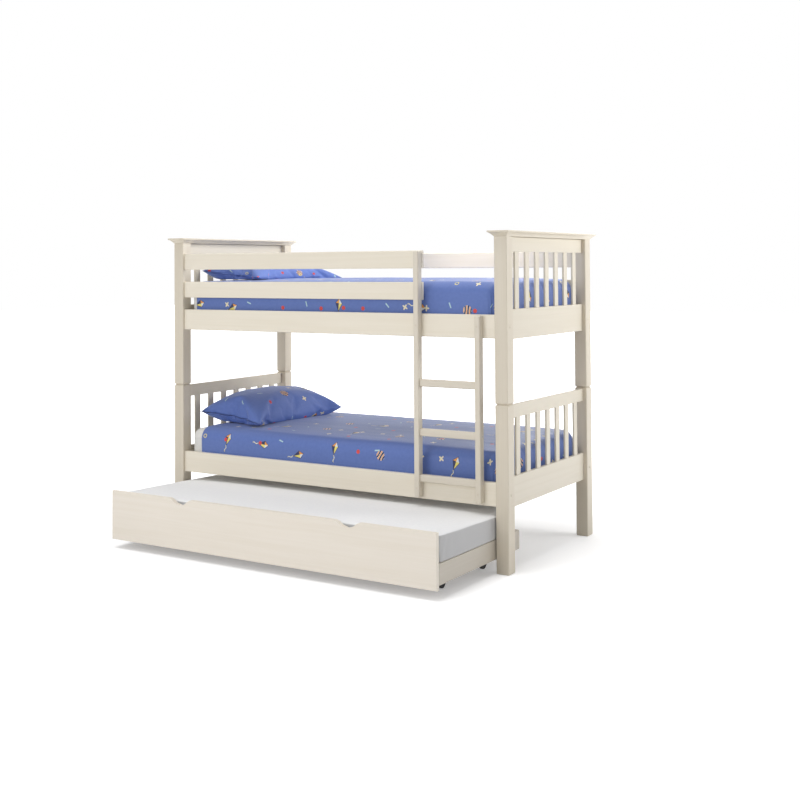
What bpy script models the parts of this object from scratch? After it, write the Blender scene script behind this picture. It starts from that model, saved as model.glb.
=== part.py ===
"""A white-lacquered pine bunk bed with a trundle bed that rolls out from under it.

Two equal bed units stand one on the other, held by steel pins between their posts. Each has slatted
end panels and side rails. A three-rung ladder and two guard rails are at the front, and two more guard
rails at the back. X runs along the bed, with the ladder near its +X end, Y from the front to the back
and Z up from the floor. The origin is on the floor, in the middle of the whole outline, with the trundle
standing part of the way out of the front. Lengths are in metres.
"""

import math

import bmesh
import bpy

for old_object in list(bpy.data.objects):
    bpy.data.objects.remove(old_object, do_unlink=True)

# Bed frame, over its posts
BED_LENGTH = 2.060
BED_DEPTH = 0.982
POST_WIDTH = 0.066
LOWER_POST_HEIGHT = 0.781
UPPER_POST_HEIGHT = 0.780
POST_FOOT_CHAMFER = 0.003
POST_JOINT_CHAMFER = 0.006
POST_TOP_CHAMFER = 0.001
POST_EASE = 0.003

# Fits that every joint shares
SEAT_GAP = 0.0003
OVERRUN = 0.002
EASE_STEPS = 1

# Steel pins that join the upper posts to the lower ones
PIN_RADIUS = 0.006
PIN_LENGTH = 0.080
PIN_TIP_CHAMFER = 0.001
PIN_SIDES = 12

# Moulded caps over the end panels of the upper bunk
CAP_OVERHANG = 0.024
CAP_HEIGHT = 0.027
CAP_LIP = 0.007
CAP_LIP_EASE = 0.0015
CAP_COVE_SHARE = 0.3
CAP_COVE_STEPS = 6

# Slatted end panels
END_RAIL_RECESS = 0.020
END_RAIL_THICKNESS = 0.018
END_RAIL_EASE = 0.002
UPPER_TOP_RAIL_HEIGHT = 0.0715
LOWER_TOP_RAIL_HEIGHT = 0.064
LOWER_TOP_RAIL_DROP = 0.0065
BOTTOM_RAIL_HEIGHT = 0.141
LOWER_BOTTOM_RAIL_RISE = 0.297
UPPER_BOTTOM_RAIL_SETDOWN = 0.0055
RAIL_TENON_LENGTH = 0.018
RAIL_TENON_THICKNESS = 0.009
RAIL_TENON_SHOULDER = 0.008
END_SLAT_COUNT = 7
END_SLAT_WIDTH = 0.042
END_SLAT_THICKNESS = 0.010
END_SLAT_EASE = 0.0015
END_SLAT_TENON = 0.012

# Side rails, each with the bearer strip that is fixed along its inner face
SIDE_RAIL_RECESS = 0.012
SIDE_RAIL_THICKNESS = 0.027
SIDE_RAIL_HEIGHT = 0.111
SIDE_RAIL_EASE = 0.003
LOWER_SIDE_RAIL_RISE = 0.306
UPPER_SIDE_RAIL_RISE_SHARE = 0.3891
BEARER_WIDTH = 0.020
BEARER_HEIGHT = 0.025
BEARER_EASE = 0.0015

# Guard rails of the upper bunk, measured from the tops of its posts
GUARD_RAIL_THICKNESS = 0.0175
GUARD_RAIL_HEIGHT = 0.087
GUARD_RAIL_EASE = 0.003
TOP_GUARD_RAIL_DROP = 0.0598

# Ladder, fixed over the fronts of the side rails, its ends set in from the edges of the rails
LADDER_WIDTH = 0.361
LADDER_OFFSET = 0.065
STILE_WIDTH = 0.028
STILE_DEPTH = 0.038
STILE_EASE = 0.003
STILE_FOOT_RISE = 0.012
LONG_STILE_SETDOWN = 0.004
SHORT_STILE_SETDOWN = 0.0048
RUNG_HEIGHT = 0.035
RUNG_SETBACK = 0.010
RUNG_EASE = 0.004
RUNG_TENON = 0.008
LOW_RUNG_TOP = 0.426
MIDDLE_RUNG_TOP = 0.6455
HIGH_RUNG_TOP = 0.8815

# Slat decks: slats held at their pitch by two webbing straps
DECK_SLAT_WIDTH = 0.070
DECK_SLAT_THICKNESS = 0.018
DECK_SLAT_EASE = 0.002
DECK_SLAT_COUNT = 14
DECK_END_MARGIN = 0.030
DECK_SIDE_CLEARANCE = 0.002
STRAP_WIDTH = 0.030
STRAP_THICKNESS = 0.0015
STRAP_GRIP = 0.0005
STRAP_PLACE_SHARE = 0.32
STRAP_END_REACH = 0.0175

# Trundle bed, with its front standing out from the front of the posts
TRUNDLE_REACH = 0.535
TRUNDLE_DEPTH = 0.788
TRUNDLE_SIDE_CLEARANCE = 0.0047
TRUNDLE_PANEL_LIFT = 0.0445
TRUNDLE_PANEL_HEIGHT = 0.2465
TRUNDLE_PANEL_THICKNESS = 0.020
TRUNDLE_PANEL_EASE = 0.002
TRUNDLE_RAIL_LIFT = 0.064
TRUNDLE_RAIL_HEIGHT = 0.092
TRUNDLE_RAIL_THICKNESS = 0.020
TRUNDLE_RAIL_EASE = 0.002
TRUNDLE_SLAT_COUNT = 12
FINGER_NOTCH_WIDTH = 0.140
FINGER_NOTCH_DEPTH = 0.031
FINGER_NOTCH_OFFSET = 0.497
FINGER_NOTCH_ROUND_POWER = 2.2
FINGER_NOTCH_SHOULDER_POWER = 2.2
FINGER_NOTCH_STEPS = 16

# Castors under blocks on the trundle's side rails
WHEEL_RADIUS = 0.025
WHEEL_WIDTH = 0.020
WHEEL_TREAD_EASE = 0.003
WHEEL_HUB_RADIUS = 0.009
WHEEL_WEB_RECESS = 0.003
WHEEL_RIM_WIDTH = 0.007
WHEEL_SIDES = 20
AXLE_RADIUS = 0.004
AXLE_CLEARANCE = 0.0001
CASTOR_HEIGHT = 0.068
CASTOR_PLATE_LENGTH = 0.056
CASTOR_PLATE_WIDTH = 0.042
CASTOR_PLATE_THICKNESS = 0.003
CASTOR_CHEEK_THICKNESS = 0.0025
CASTOR_CHEEK_GAP = 0.001
CASTOR_CHEEK_RADIUS = 0.010
CASTOR_CHEEK_LENGTH = 0.044
CASTOR_CHEEK_STEPS = 4
CASTOR_END_INSET = 0.180
CASTOR_BLOCK_WIDTH = 0.150
CASTOR_BLOCK_LENGTH = 0.070
CASTOR_BLOCK_HEIGHT = 0.040

# Mattresses
LOWER_MATTRESS_HEIGHT = 0.196
UPPER_MATTRESS_HEIGHT = 0.216
MATTRESS_LEFT_CLEARANCE = 0.024
MATTRESS_RIGHT_CLEARANCE = 0.009
MATTRESS_SIDE_CLEARANCE = 0.0055
MATTRESS_CORNER_RADIUS = 0.045
MATTRESS_LEAST_RADIUS = 0.006
MATTRESS_CORNER_STEPS = 4
MATTRESS_EDGE_DRAW = 0.012
MATTRESS_SIDE_POWER = 0.6
MATTRESS_SIDE_STEPS = 6
MATTRESS_CROWN = 0.010
MATTRESS_CROWN_REACH = 0.300
MATTRESS_CROWN_REACH_POWER = 1.6
MATTRESS_CROWN_RISE_POWER = 0.8
MATTRESS_CROWN_STEPS = 5
TRUNDLE_MATTRESS_HEIGHT = 0.126
TRUNDLE_MATTRESS_SETBACK = 0.012
TRUNDLE_MATTRESS_BACK_INSET = 0.006
TRUNDLE_MATTRESS_LEFT_CLEARANCE = 0.024
TRUNDLE_MATTRESS_RIGHT_CLEARANCE = 0.0055
TRUNDLE_MATTRESS_FALL_SHARE = 0.17

# Covers that lie over the mattresses of the bunks
COVER_THICKNESS = 0.003
COVER_FOLD = 0.004
COVER_FOLD_COUNT = 9
COVER_FOLD_SLANT_SHARE = 0.3
COVER_FOLD_HEIGHT_SHARE = 0.8
COVER_FOLD_REACH_SHARE = 0.35
COVER_SIDE_POINTS = 27
COVER_END_POINTS = 9
LOWER_COVER_INSET = 0.075
UPPER_COVER_INSET = 0.042
COVER_HEM_RISE = 0.045

# Pillows
PILLOW_WIDTH = 0.455
PILLOW_LENGTH = 0.680
PILLOW_TOP_BULGE = 0.112
PILLOW_UNDER_BULGE = 0.060
PILLOW_WIDTH_STEPS = 12
PILLOW_LENGTH_STEPS = 16
PILLOW_DRAW_SHARE = 0.07
PILLOW_DRAW_POWER = 4
PILLOW_TILT_POWER = 1.3
PILLOW_FULLNESS_POWER = 0.55
PILLOW_TURN = math.radians(-6.0)
PILLOW_LEFT_SEAM = 0.058
PILLOW_RIGHT_SEAM = 0.014
LOWER_PILLOW_GAP = 0.007
UPPER_PILLOW_GAP = 0.040
UPPER_PILLOW_TOP_BULGE = 0.074
UPPER_PILLOW_UNDER_BULGE = 0.045

# Finishes: colour, roughness and metallic value, and the sharpest turn that is shaded smooth
LACQUER = ((0.78, 0.72, 0.61), 0.35, 0.0)
BARE_PINE = ((0.62, 0.47, 0.30), 0.6, 0.0)
STEEL = ((0.55, 0.55, 0.56), 0.35, 1.0)
BLACK_PLASTIC = ((0.02, 0.02, 0.022), 0.4, 0.0)
BLACK_RUBBER = ((0.03, 0.03, 0.03), 0.7, 0.0)
TICKING = ((0.80, 0.80, 0.81), 0.9, 0.0)
BLUE_COTTON = ((0.12, 0.17, 0.50), 0.85, 0.0)
SMOOTH_LIMIT = math.radians(40)

# Planes and places that several pieces share
WHOLE_DEPTH = TRUNDLE_REACH + BED_DEPTH + CAP_OVERHANG
BED_FRONT = TRUNDLE_REACH - WHOLE_DEPTH / 2
BED_MIDDLE = BED_FRONT + BED_DEPTH / 2
POST_X = (BED_LENGTH - POST_WIDTH) / 2
POST_Y_OFFSET = (BED_DEPTH - POST_WIDTH) / 2
UPPER_POST_FOOT = LOWER_POST_HEIGHT + SEAT_GAP
UPPER_POST_TOP = UPPER_POST_FOOT + UPPER_POST_HEIGHT
INNER_LENGTH = BED_LENGTH - 2 * POST_WIDTH
INNER_DEPTH = BED_DEPTH - 2 * POST_WIDTH
END_RAIL_X = BED_LENGTH / 2 - END_RAIL_RECESS - END_RAIL_THICKNESS / 2
SIDE_RAIL_Y_OFFSET = BED_DEPTH / 2 - SIDE_RAIL_RECESS - SIDE_RAIL_THICKNESS / 2
WELL_DEPTH = BED_DEPTH - 2 * (SIDE_RAIL_RECESS + SIDE_RAIL_THICKNESS)
LOWER_DECK_BASE = LOWER_SIDE_RAIL_RISE + BEARER_HEIGHT + SEAT_GAP
UPPER_SIDE_RAIL_RISE = UPPER_POST_HEIGHT * UPPER_SIDE_RAIL_RISE_SHARE
UPPER_SIDE_RAIL_BASE = UPPER_POST_FOOT + UPPER_SIDE_RAIL_RISE
UPPER_SIDE_RAIL_TOP = UPPER_SIDE_RAIL_BASE + SIDE_RAIL_HEIGHT
UPPER_BOTTOM_RAIL_RISE = UPPER_SIDE_RAIL_RISE - UPPER_BOTTOM_RAIL_SETDOWN
TOP_GUARD_RAIL_BASE = UPPER_POST_TOP - TOP_GUARD_RAIL_DROP - GUARD_RAIL_HEIGHT
LOW_GUARD_RAIL_DROP = UPPER_POST_TOP - (TOP_GUARD_RAIL_BASE + UPPER_SIDE_RAIL_TOP + GUARD_RAIL_HEIGHT) / 2
UPPER_DECK_BASE = UPPER_SIDE_RAIL_BASE + BEARER_HEIGHT + SEAT_GAP
STILE_FOOT = LOWER_SIDE_RAIL_RISE + STILE_FOOT_RISE
LONG_STILE_TOP = UPPER_POST_TOP - TOP_GUARD_RAIL_DROP - LONG_STILE_SETDOWN
SHORT_STILE_TOP = UPPER_SIDE_RAIL_TOP - SHORT_STILE_SETDOWN
TRUNDLE_FRONT = -WHOLE_DEPTH / 2
TRUNDLE_LENGTH = INNER_LENGTH - 2 * TRUNDLE_SIDE_CLEARANCE
TRUNDLE_RAIL_TOP = TRUNDLE_RAIL_LIFT + TRUNDLE_RAIL_HEIGHT
TRUNDLE_DECK_BASE = TRUNDLE_RAIL_TOP - DECK_SLAT_THICKNESS


def rounded_rectangle(width, height, radius, steps):
    """The outline of a rectangle about the origin, with its corners as arcs of the given radius."""
    points = []
    for quarter, (side, rise) in enumerate(((1, 1), (-1, 1), (-1, -1), (1, -1))):
        centre_u = side * (width / 2 - radius)
        centre_v = rise * (height / 2 - radius)
        for step in range(steps + 1):
            angle = (quarter + step / steps) * math.pi / 2
            points.append((centre_u + radius * math.cos(angle), centre_v + radius * math.sin(angle)))
    return points


def circle(radius, sides):
    """The outline of a round section about the origin."""
    turns = [math.tau * step / sides for step in range(sides)]
    return [(radius * math.cos(turn), radius * math.sin(turn)) for turn in turns]


def loft(bm, rings):
    """Skins closed rings of equal length in their order, and caps the first and the last."""
    loops = [[bm.verts.new(point) for point in ring] for ring in rings]
    for near, far in zip(loops, loops[1:]):
        for index, corner in enumerate(near):
            following = (index + 1) % len(near)
            bm.faces.new((corner, near[following], far[following], far[index]))
    bm.faces.new(reversed(loops[0]))
    bm.faces.new(loops[-1])


def on_axis(axis, along, across, up):
    """A point, from its place along an axis and in the plane square to it."""
    if axis == "X":
        return (along, across, up)
    if axis == "Y":
        return (across, along, up)
    return (across, up, along)


def bar(bm, axis, sections, centre=(0, 0)):
    """A bar lofted through eased rectangular sections: (place along the axis, width, height, ease)."""
    rings = []
    for along, width, height, ease in sections:
        outline = rounded_rectangle(width, height, ease, EASE_STEPS)
        rings.append([on_axis(axis, along, centre[0] + u, centre[1] + v) for u, v in outline])
    loft(bm, rings)


def rod(bm, axis, sections, sides, centre=(0, 0)):
    """A turned rod lofted through round sections: (place along the axis, radius)."""
    rings = []
    for along, radius in sections:
        rings.append([on_axis(axis, along, centre[0] + u, centre[1] + v) for u, v in circle(radius, sides)])
    loft(bm, rings)


def box(bm, low, high):
    """A plain box between two opposite corners."""
    outline = ((low[0], low[1]), (high[0], low[1]), (high[0], high[1]), (low[0], high[1]))
    loft(bm, [[(x, y, z) for x, y in outline] for z in (low[2], high[2])])


def eased_ends(start, end, width, height, ease):
    """The sections of a board whose ends are eased like its long edges."""
    return (
        (start, width - 2 * ease, height - 2 * ease, ease),
        (start + ease, width, height, ease),
        (end - ease, width, height, ease),
        (end, width - 2 * ease, height - 2 * ease, ease),
    )


def link_object(name, bm, location):
    """Turns the working mesh into an object of the scene, with its faces pointing out."""
    bmesh.ops.recalc_face_normals(bm, faces=bm.faces)
    mesh = bpy.data.meshes.new(name)
    bm.to_mesh(mesh)
    bm.free()
    obj = bpy.data.objects.new(name, mesh)
    obj.location = location
    bpy.context.scene.collection.objects.link(obj)
    return obj


def piece(name, bm, location, finish, smooth=False):
    """One sub-part of the bed, with a material of its own."""
    obj = link_object(name, bm, location)
    colour, roughness, metallic = finish
    material = bpy.data.materials.new(name)
    material.use_nodes = True
    shader = material.node_tree.nodes["Principled BSDF"]
    shader.inputs["Base Color"].default_value = (*colour, 1)
    shader.inputs["Roughness"].default_value = roughness
    shader.inputs["Metallic"].default_value = metallic
    obj.data.materials.append(material)
    if smooth:
        obj.data.shade_smooth()
        obj.data.set_sharp_from_angle(angle=SMOOTH_LIMIT)
    return obj


def combine(obj, bm, operation):
    """Joins a shape to a piece, or cuts it out. The shape is drawn in the piece's own axes."""
    helper = link_object(obj.name + "_" + operation.lower(), bm, (0, 0, 0))
    helper.parent = obj
    helper.hide_render = True
    helper.display_type = "WIRE"
    modifier = obj.modifiers.new(helper.name, "BOOLEAN")
    modifier.operation = operation
    modifier.solver = "EXACT"
    modifier.object = helper


def rail_tenon_height(rail_height):
    return rail_height - 2 * RAIL_TENON_SHOULDER


def cut_mortise(bm, x_side, y_side, middle):
    """Adds the pocket in a post's inner face that takes the tenon of one end rail."""
    tenon_x = x_side * (END_RAIL_X - POST_X)
    half_width = RAIL_TENON_THICKNESS / 2 + SEAT_GAP
    half_height = rail_tenon_height(middle[1]) / 2 + SEAT_GAP
    mouth = -y_side * (POST_WIDTH / 2 + OVERRUN)
    floor = -y_side * (POST_WIDTH / 2 - RAIL_TENON_LENGTH - SEAT_GAP)
    low = (tenon_x - half_width, min(mouth, floor), middle[0] - half_height)
    high = (tenon_x + half_width, max(mouth, floor), middle[0] + half_height)
    box(bm, low, high)


def make_post(level, x_side, y_side, foot, height, rails, pin_end, chamfers):
    """A square post with chamfered ends, mortises for its end rails and a bore for the joining pin."""
    width = POST_WIDTH
    foot_width, head_width = (width - 2 * chamfer for chamfer in chamfers)
    bm = bmesh.new()
    sections = (
        (0, foot_width, foot_width, POST_EASE),
        (chamfers[0], width, width, POST_EASE),
        (height - chamfers[1], width, width, POST_EASE),
        (height, head_width, head_width, POST_EASE),
    )
    bar(bm, "Z", sections)
    place = (x_side * POST_X, BED_MIDDLE + y_side * POST_Y_OFFSET, foot)
    row = "front" if y_side < 0 else "back"
    end = "left" if x_side < 0 else "right"
    obj = piece(f"{level}_post_{row}_{end}", bm, place, LACQUER)
    cuts = bmesh.new()
    for rail_middle_and_height in rails:
        cut_mortise(cuts, x_side, y_side, rail_middle_and_height)
    reach = PIN_LENGTH / 2 + SEAT_GAP
    bore_from = pin_end * height + (1 - 2 * pin_end) * reach
    bore_to = pin_end * height - (1 - 2 * pin_end) * OVERRUN
    bore_radius = PIN_RADIUS + SEAT_GAP
    bore = ((min(bore_from, bore_to), bore_radius), (max(bore_from, bore_to), bore_radius))
    rod(cuts, "Z", bore, PIN_SIDES)
    combine(obj, cuts, "DIFFERENCE")


def make_posts():
    """Eight posts: the lower four stand on the floor, and the upper four on them."""
    lower_top_middle = LOWER_POST_HEIGHT - LOWER_TOP_RAIL_DROP - LOWER_TOP_RAIL_HEIGHT / 2
    lower_rails = (
        (lower_top_middle, LOWER_TOP_RAIL_HEIGHT),
        (LOWER_BOTTOM_RAIL_RISE + BOTTOM_RAIL_HEIGHT / 2, BOTTOM_RAIL_HEIGHT),
    )
    upper_rails = (
        (UPPER_POST_HEIGHT - UPPER_TOP_RAIL_HEIGHT / 2, UPPER_TOP_RAIL_HEIGHT),
        (UPPER_BOTTOM_RAIL_RISE + BOTTOM_RAIL_HEIGHT / 2, BOTTOM_RAIL_HEIGHT),
    )
    lower_ends = (POST_FOOT_CHAMFER, POST_JOINT_CHAMFER)
    upper_ends = (POST_JOINT_CHAMFER, POST_TOP_CHAMFER)
    for x_side in (-1, 1):
        for y_side in (-1, 1):
            make_post("lower", x_side, y_side, 0, LOWER_POST_HEIGHT, lower_rails, 1, lower_ends)
            make_post("upper", x_side, y_side, UPPER_POST_FOOT, UPPER_POST_HEIGHT, upper_rails, 0, upper_ends)


def make_joining_pins():
    """A steel pin stands half in each lower post and half in the post above it."""
    half = PIN_LENGTH / 2
    sections = (
        (-half, PIN_RADIUS - PIN_TIP_CHAMFER),
        (PIN_TIP_CHAMFER - half, PIN_RADIUS),
        (half - PIN_TIP_CHAMFER, PIN_RADIUS),
        (half, PIN_RADIUS - PIN_TIP_CHAMFER),
    )
    for x_side, end in ((-1, "left"), (1, "right")):
        for y_side, row in ((-1, "front"), (1, "back")):
            bm = bmesh.new()
            rod(bm, "Z", sections, PIN_SIDES)
            place = (
                x_side * POST_X,
                BED_MIDDLE + y_side * POST_Y_OFFSET,
                LOWER_POST_HEIGHT + SEAT_GAP / 2,
            )
            piece(f"joining_pin_{row}_{end}", bm, place, STEEL, smooth=True)


def cap_rings():
    """The cap's outline, level by level: a shallow cove that splays out from the posts to a square lip."""
    levels = []
    cove_height = CAP_HEIGHT - CAP_LIP
    for step in range(CAP_COVE_STEPS + 1):
        straight = step / CAP_COVE_STEPS
        turn = math.pi / 2 * straight
        reach_share = straight + (1 - math.cos(turn) - straight) * CAP_COVE_SHARE
        rise_share = straight + (math.sin(turn) - straight) * CAP_COVE_SHARE
        levels.append((CAP_OVERHANG * reach_share, cove_height * rise_share))
    levels.append((CAP_OVERHANG, CAP_HEIGHT - CAP_LIP_EASE))
    levels.append((CAP_OVERHANG - CAP_LIP_EASE, CAP_HEIGHT))
    rings = []
    for growth, rise in levels:
        half_x = POST_WIDTH / 2 + growth
        half_y = BED_DEPTH / 2 + growth
        corners = ((half_x, half_y), (-half_x, half_y), (-half_x, -half_y), (half_x, -half_y))
        rings.append([(x, y, rise) for x, y in corners])
    return rings


def make_caps():
    """A moulded cap lies over each pair of upper posts and the rail between them."""
    for x_side, end in ((-1, "left"), (1, "right")):
        bm = bmesh.new()
        loft(bm, cap_rings())
        place = (x_side * POST_X, BED_MIDDLE, UPPER_POST_TOP + SEAT_GAP)
        piece(f"cap_moulding_{end}", bm, place, LACQUER)


def end_rail_sections(height):
    """The sections of an end rail, with a shouldered tenon at each post."""
    shoulder = INNER_DEPTH / 2 - SEAT_GAP
    tip = shoulder + RAIL_TENON_LENGTH
    rail = (END_RAIL_THICKNESS, height, END_RAIL_EASE)
    tenon = (RAIL_TENON_THICKNESS, rail_tenon_height(height), END_RAIL_EASE)
    half = ((shoulder, rail), (shoulder, tenon), (tip, tenon))
    other_half = tuple((-along, size) for along, size in reversed(half))
    return [(along, *size) for along, size in other_half + half]


def end_slat_places():
    """The middles of an end panel's slats, with equal gaps between them and to the posts."""
    pitch = (INNER_DEPTH + END_SLAT_WIDTH) / (END_SLAT_COUNT + 1)
    return [(index - (END_SLAT_COUNT - 1) / 2) * pitch for index in range(END_SLAT_COUNT)]


def make_end_panel(level, end, x_side, top_rail_middle, top_rail_height, bottom_rail_middle):
    """A top rail mortised for seven slats, and the bottom rail with the slats that stand in it."""
    bm = bmesh.new()
    bar(bm, "Y", end_rail_sections(top_rail_height))
    place = (x_side * END_RAIL_X, BED_MIDDLE, top_rail_middle)
    top_rail = piece(f"{level}_end_top_rail_{end}", bm, place, LACQUER)
    cuts = bmesh.new()
    half_width = END_SLAT_WIDTH / 2 + SEAT_GAP
    half_thickness = END_SLAT_THICKNESS / 2 + SEAT_GAP
    underside = -top_rail_height / 2
    for middle in end_slat_places():
        low = (-half_thickness, middle - half_width, underside - OVERRUN)
        high = (half_thickness, middle + half_width, underside + END_SLAT_TENON + SEAT_GAP)
        box(cuts, low, high)
    combine(top_rail, cuts, "DIFFERENCE")

    bm = bmesh.new()
    bar(bm, "Y", end_rail_sections(BOTTOM_RAIL_HEIGHT))
    place = (x_side * END_RAIL_X, BED_MIDDLE, bottom_rail_middle)
    slatted = piece(f"{level}_end_slatted_rail_{end}", bm, place, LACQUER)
    slats = bmesh.new()
    root = BOTTOM_RAIL_HEIGHT / 2 - END_SLAT_TENON
    tip = top_rail_middle - top_rail_height / 2 + END_SLAT_TENON - bottom_rail_middle
    for middle in end_slat_places():
        section = (END_SLAT_THICKNESS, END_SLAT_WIDTH, END_SLAT_EASE)
        bar(slats, "Z", ((root, *section), (tip, *section)), (0, middle))
    combine(slatted, slats, "UNION")


def make_end_panels():
    for x_side, end in ((-1, "left"), (1, "right")):
        lower_top = LOWER_POST_HEIGHT - LOWER_TOP_RAIL_DROP - LOWER_TOP_RAIL_HEIGHT / 2
        lower_bottom = LOWER_BOTTOM_RAIL_RISE + BOTTOM_RAIL_HEIGHT / 2
        make_end_panel("lower", end, x_side, lower_top, LOWER_TOP_RAIL_HEIGHT, lower_bottom)
        upper_top = UPPER_POST_TOP - UPPER_TOP_RAIL_HEIGHT / 2
        upper_bottom = UPPER_POST_FOOT + UPPER_BOTTOM_RAIL_RISE + BOTTOM_RAIL_HEIGHT / 2
        make_end_panel("upper", end, x_side, upper_top, UPPER_TOP_RAIL_HEIGHT, upper_bottom)


def make_side_rails():
    """Four side rails between the posts, each with a bearer strip along its inner lower edge."""
    half = INNER_LENGTH / 2 - SEAT_GAP
    for level, base in (("lower", LOWER_SIDE_RAIL_RISE), ("upper", UPPER_SIDE_RAIL_BASE)):
        for y_side, row in ((-1, "front"), (1, "back")):
            bm = bmesh.new()
            section = (SIDE_RAIL_THICKNESS, SIDE_RAIL_HEIGHT, SIDE_RAIL_EASE)
            bar(bm, "X", ((-half, *section), (half, *section)))
            place = (0, BED_MIDDLE + y_side * SIDE_RAIL_Y_OFFSET, base + SIDE_RAIL_HEIGHT / 2)
            rail = piece(f"{level}_side_rail_{row}", bm, place, LACQUER)
            bearer = bmesh.new()
            sunk = BEARER_WIDTH + OVERRUN
            middle = -y_side * (SIDE_RAIL_THICKNESS / 2 + BEARER_WIDTH - sunk / 2)
            rise = (BEARER_HEIGHT - SIDE_RAIL_HEIGHT) / 2
            bearer_end = half - OVERRUN
            section = (sunk, BEARER_HEIGHT, BEARER_EASE)
            bar(bearer, "X", ((-bearer_end, *section), (bearer_end, *section)), (middle, rise))
            combine(rail, bearer, "UNION")


def make_guard_rails():
    """Two guard rails along the back, and two at the front that end at the ladder's long stile."""
    left = -INNER_LENGTH / 2 + SEAT_GAP
    right_of_stile = INNER_LENGTH / 2 - LADDER_OFFSET - LADDER_WIDTH + STILE_WIDTH
    y_offset = BED_DEPTH / 2 - SIDE_RAIL_RECESS - GUARD_RAIL_THICKNESS / 2
    for height_name, drop in (("top", TOP_GUARD_RAIL_DROP), ("low", LOW_GUARD_RAIL_DROP)):
        middle = UPPER_POST_TOP - drop - GUARD_RAIL_HEIGHT / 2
        for y_side, row, right in ((-1, "front", right_of_stile), (1, "back", -left)):
            bm = bmesh.new()
            section = (GUARD_RAIL_THICKNESS, GUARD_RAIL_HEIGHT, GUARD_RAIL_EASE)
            bar(bm, "X", ((left, *section), (right, *section)))
            place = (0, BED_MIDDLE + y_side * y_offset, middle)
            piece(f"{height_name}_guard_rail_{row}", bm, place, LACQUER)


def rung_middle_y():
    """The middle of a rung, between its set-back front and the fronts of the side rails."""
    front = BED_FRONT + SIDE_RAIL_RECESS - SEAT_GAP - STILE_DEPTH + RUNG_SETBACK
    return front + (STILE_DEPTH - RUNG_SETBACK) / 2


def make_ladder():
    """Two stiles fixed over the side rails, housed for three rungs."""
    depth_middle = BED_FRONT + SIDE_RAIL_RECESS - SEAT_GAP - STILE_DEPTH / 2
    rung_depth = STILE_DEPTH - RUNG_SETBACK
    right = INNER_LENGTH / 2 - LADDER_OFFSET - STILE_WIDTH / 2
    left = right - LADDER_WIDTH + STILE_WIDTH
    rung_middles = [top - RUNG_HEIGHT / 2 for top in (LOW_RUNG_TOP, MIDDLE_RUNG_TOP, HIGH_RUNG_TOP)]
    for name, x, top, inward in (("left", left, LONG_STILE_TOP, 1), ("right", right, SHORT_STILE_TOP, -1)):
        bm = bmesh.new()
        length = top - STILE_FOOT
        bar(bm, "Z", eased_ends(0, length, STILE_WIDTH, STILE_DEPTH, STILE_EASE))
        stile = piece(f"ladder_stile_{name}", bm, (x, depth_middle, STILE_FOOT), LACQUER)
        cuts = bmesh.new()
        mouth = inward * (STILE_WIDTH / 2 + OVERRUN)
        floor = inward * (STILE_WIDTH / 2 - RUNG_TENON - SEAT_GAP)
        section = (rung_depth + 2 * SEAT_GAP, RUNG_HEIGHT + 2 * SEAT_GAP, RUNG_EASE)
        for middle in rung_middles:
            centre = (rung_middle_y() - depth_middle, middle - STILE_FOOT)
            bar(cuts, "X", ((floor, *section), (mouth, *section)), centre)
        combine(stile, cuts, "DIFFERENCE")
    half = LADDER_WIDTH / 2 - STILE_WIDTH + RUNG_TENON
    for name, middle in zip(("low", "middle", "high"), rung_middles):
        bm = bmesh.new()
        section = (rung_depth, RUNG_HEIGHT, RUNG_EASE)
        bar(bm, "X", ((-half, *section), (half, *section)))
        piece(f"ladder_rung_{name}", bm, ((left + right) / 2, rung_middle_y(), middle), LACQUER)


def make_slat_deck(name, length, depth, middle_y, base, count):
    """Slats laid from bearer to bearer, with two webbing straps stapled under them."""
    bm = bmesh.new()
    half_depth = depth / 2 - DECK_SIDE_CLEARANCE
    first = -length / 2 + DECK_END_MARGIN + DECK_SLAT_WIDTH / 2
    pitch = -2 * first / (count - 1)
    section = (DECK_SLAT_WIDTH, DECK_SLAT_THICKNESS, DECK_SLAT_EASE)
    for index in range(count):
        bar(bm, "Y", ((-half_depth, *section), (half_depth, *section)), (first + index * pitch, 0))
    place = (0, middle_y, base + DECK_SLAT_THICKNESS / 2)
    deck = piece(name, bm, place, BARE_PINE)
    straps = bmesh.new()
    strap_end = -first + STRAP_END_REACH
    top = -DECK_SLAT_THICKNESS / 2 + STRAP_GRIP
    for y_side in (-1, 1):
        middle = y_side * STRAP_PLACE_SHARE * depth
        low = (-strap_end, middle - STRAP_WIDTH / 2, top - STRAP_GRIP - STRAP_THICKNESS)
        high = (strap_end, middle + STRAP_WIDTH / 2, top)
        box(straps, low, high)
    combine(deck, straps, "UNION")


def make_slat_decks():
    trundle_inner = TRUNDLE_DEPTH - TRUNDLE_PANEL_THICKNESS - TRUNDLE_RAIL_THICKNESS
    trundle_middle = TRUNDLE_FRONT + TRUNDLE_PANEL_THICKNESS + trundle_inner / 2
    trundle_length = TRUNDLE_LENGTH - 2 * TRUNDLE_RAIL_THICKNESS
    make_slat_deck("lower_slat_deck", INNER_LENGTH, WELL_DEPTH, BED_MIDDLE, LOWER_DECK_BASE, DECK_SLAT_COUNT)
    make_slat_deck("upper_slat_deck", INNER_LENGTH, WELL_DEPTH, BED_MIDDLE, UPPER_DECK_BASE, DECK_SLAT_COUNT)
    place = (trundle_middle, TRUNDLE_DECK_BASE)
    make_slat_deck("trundle_slat_deck", trundle_length, trundle_inner, *place, TRUNDLE_SLAT_COUNT)


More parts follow.
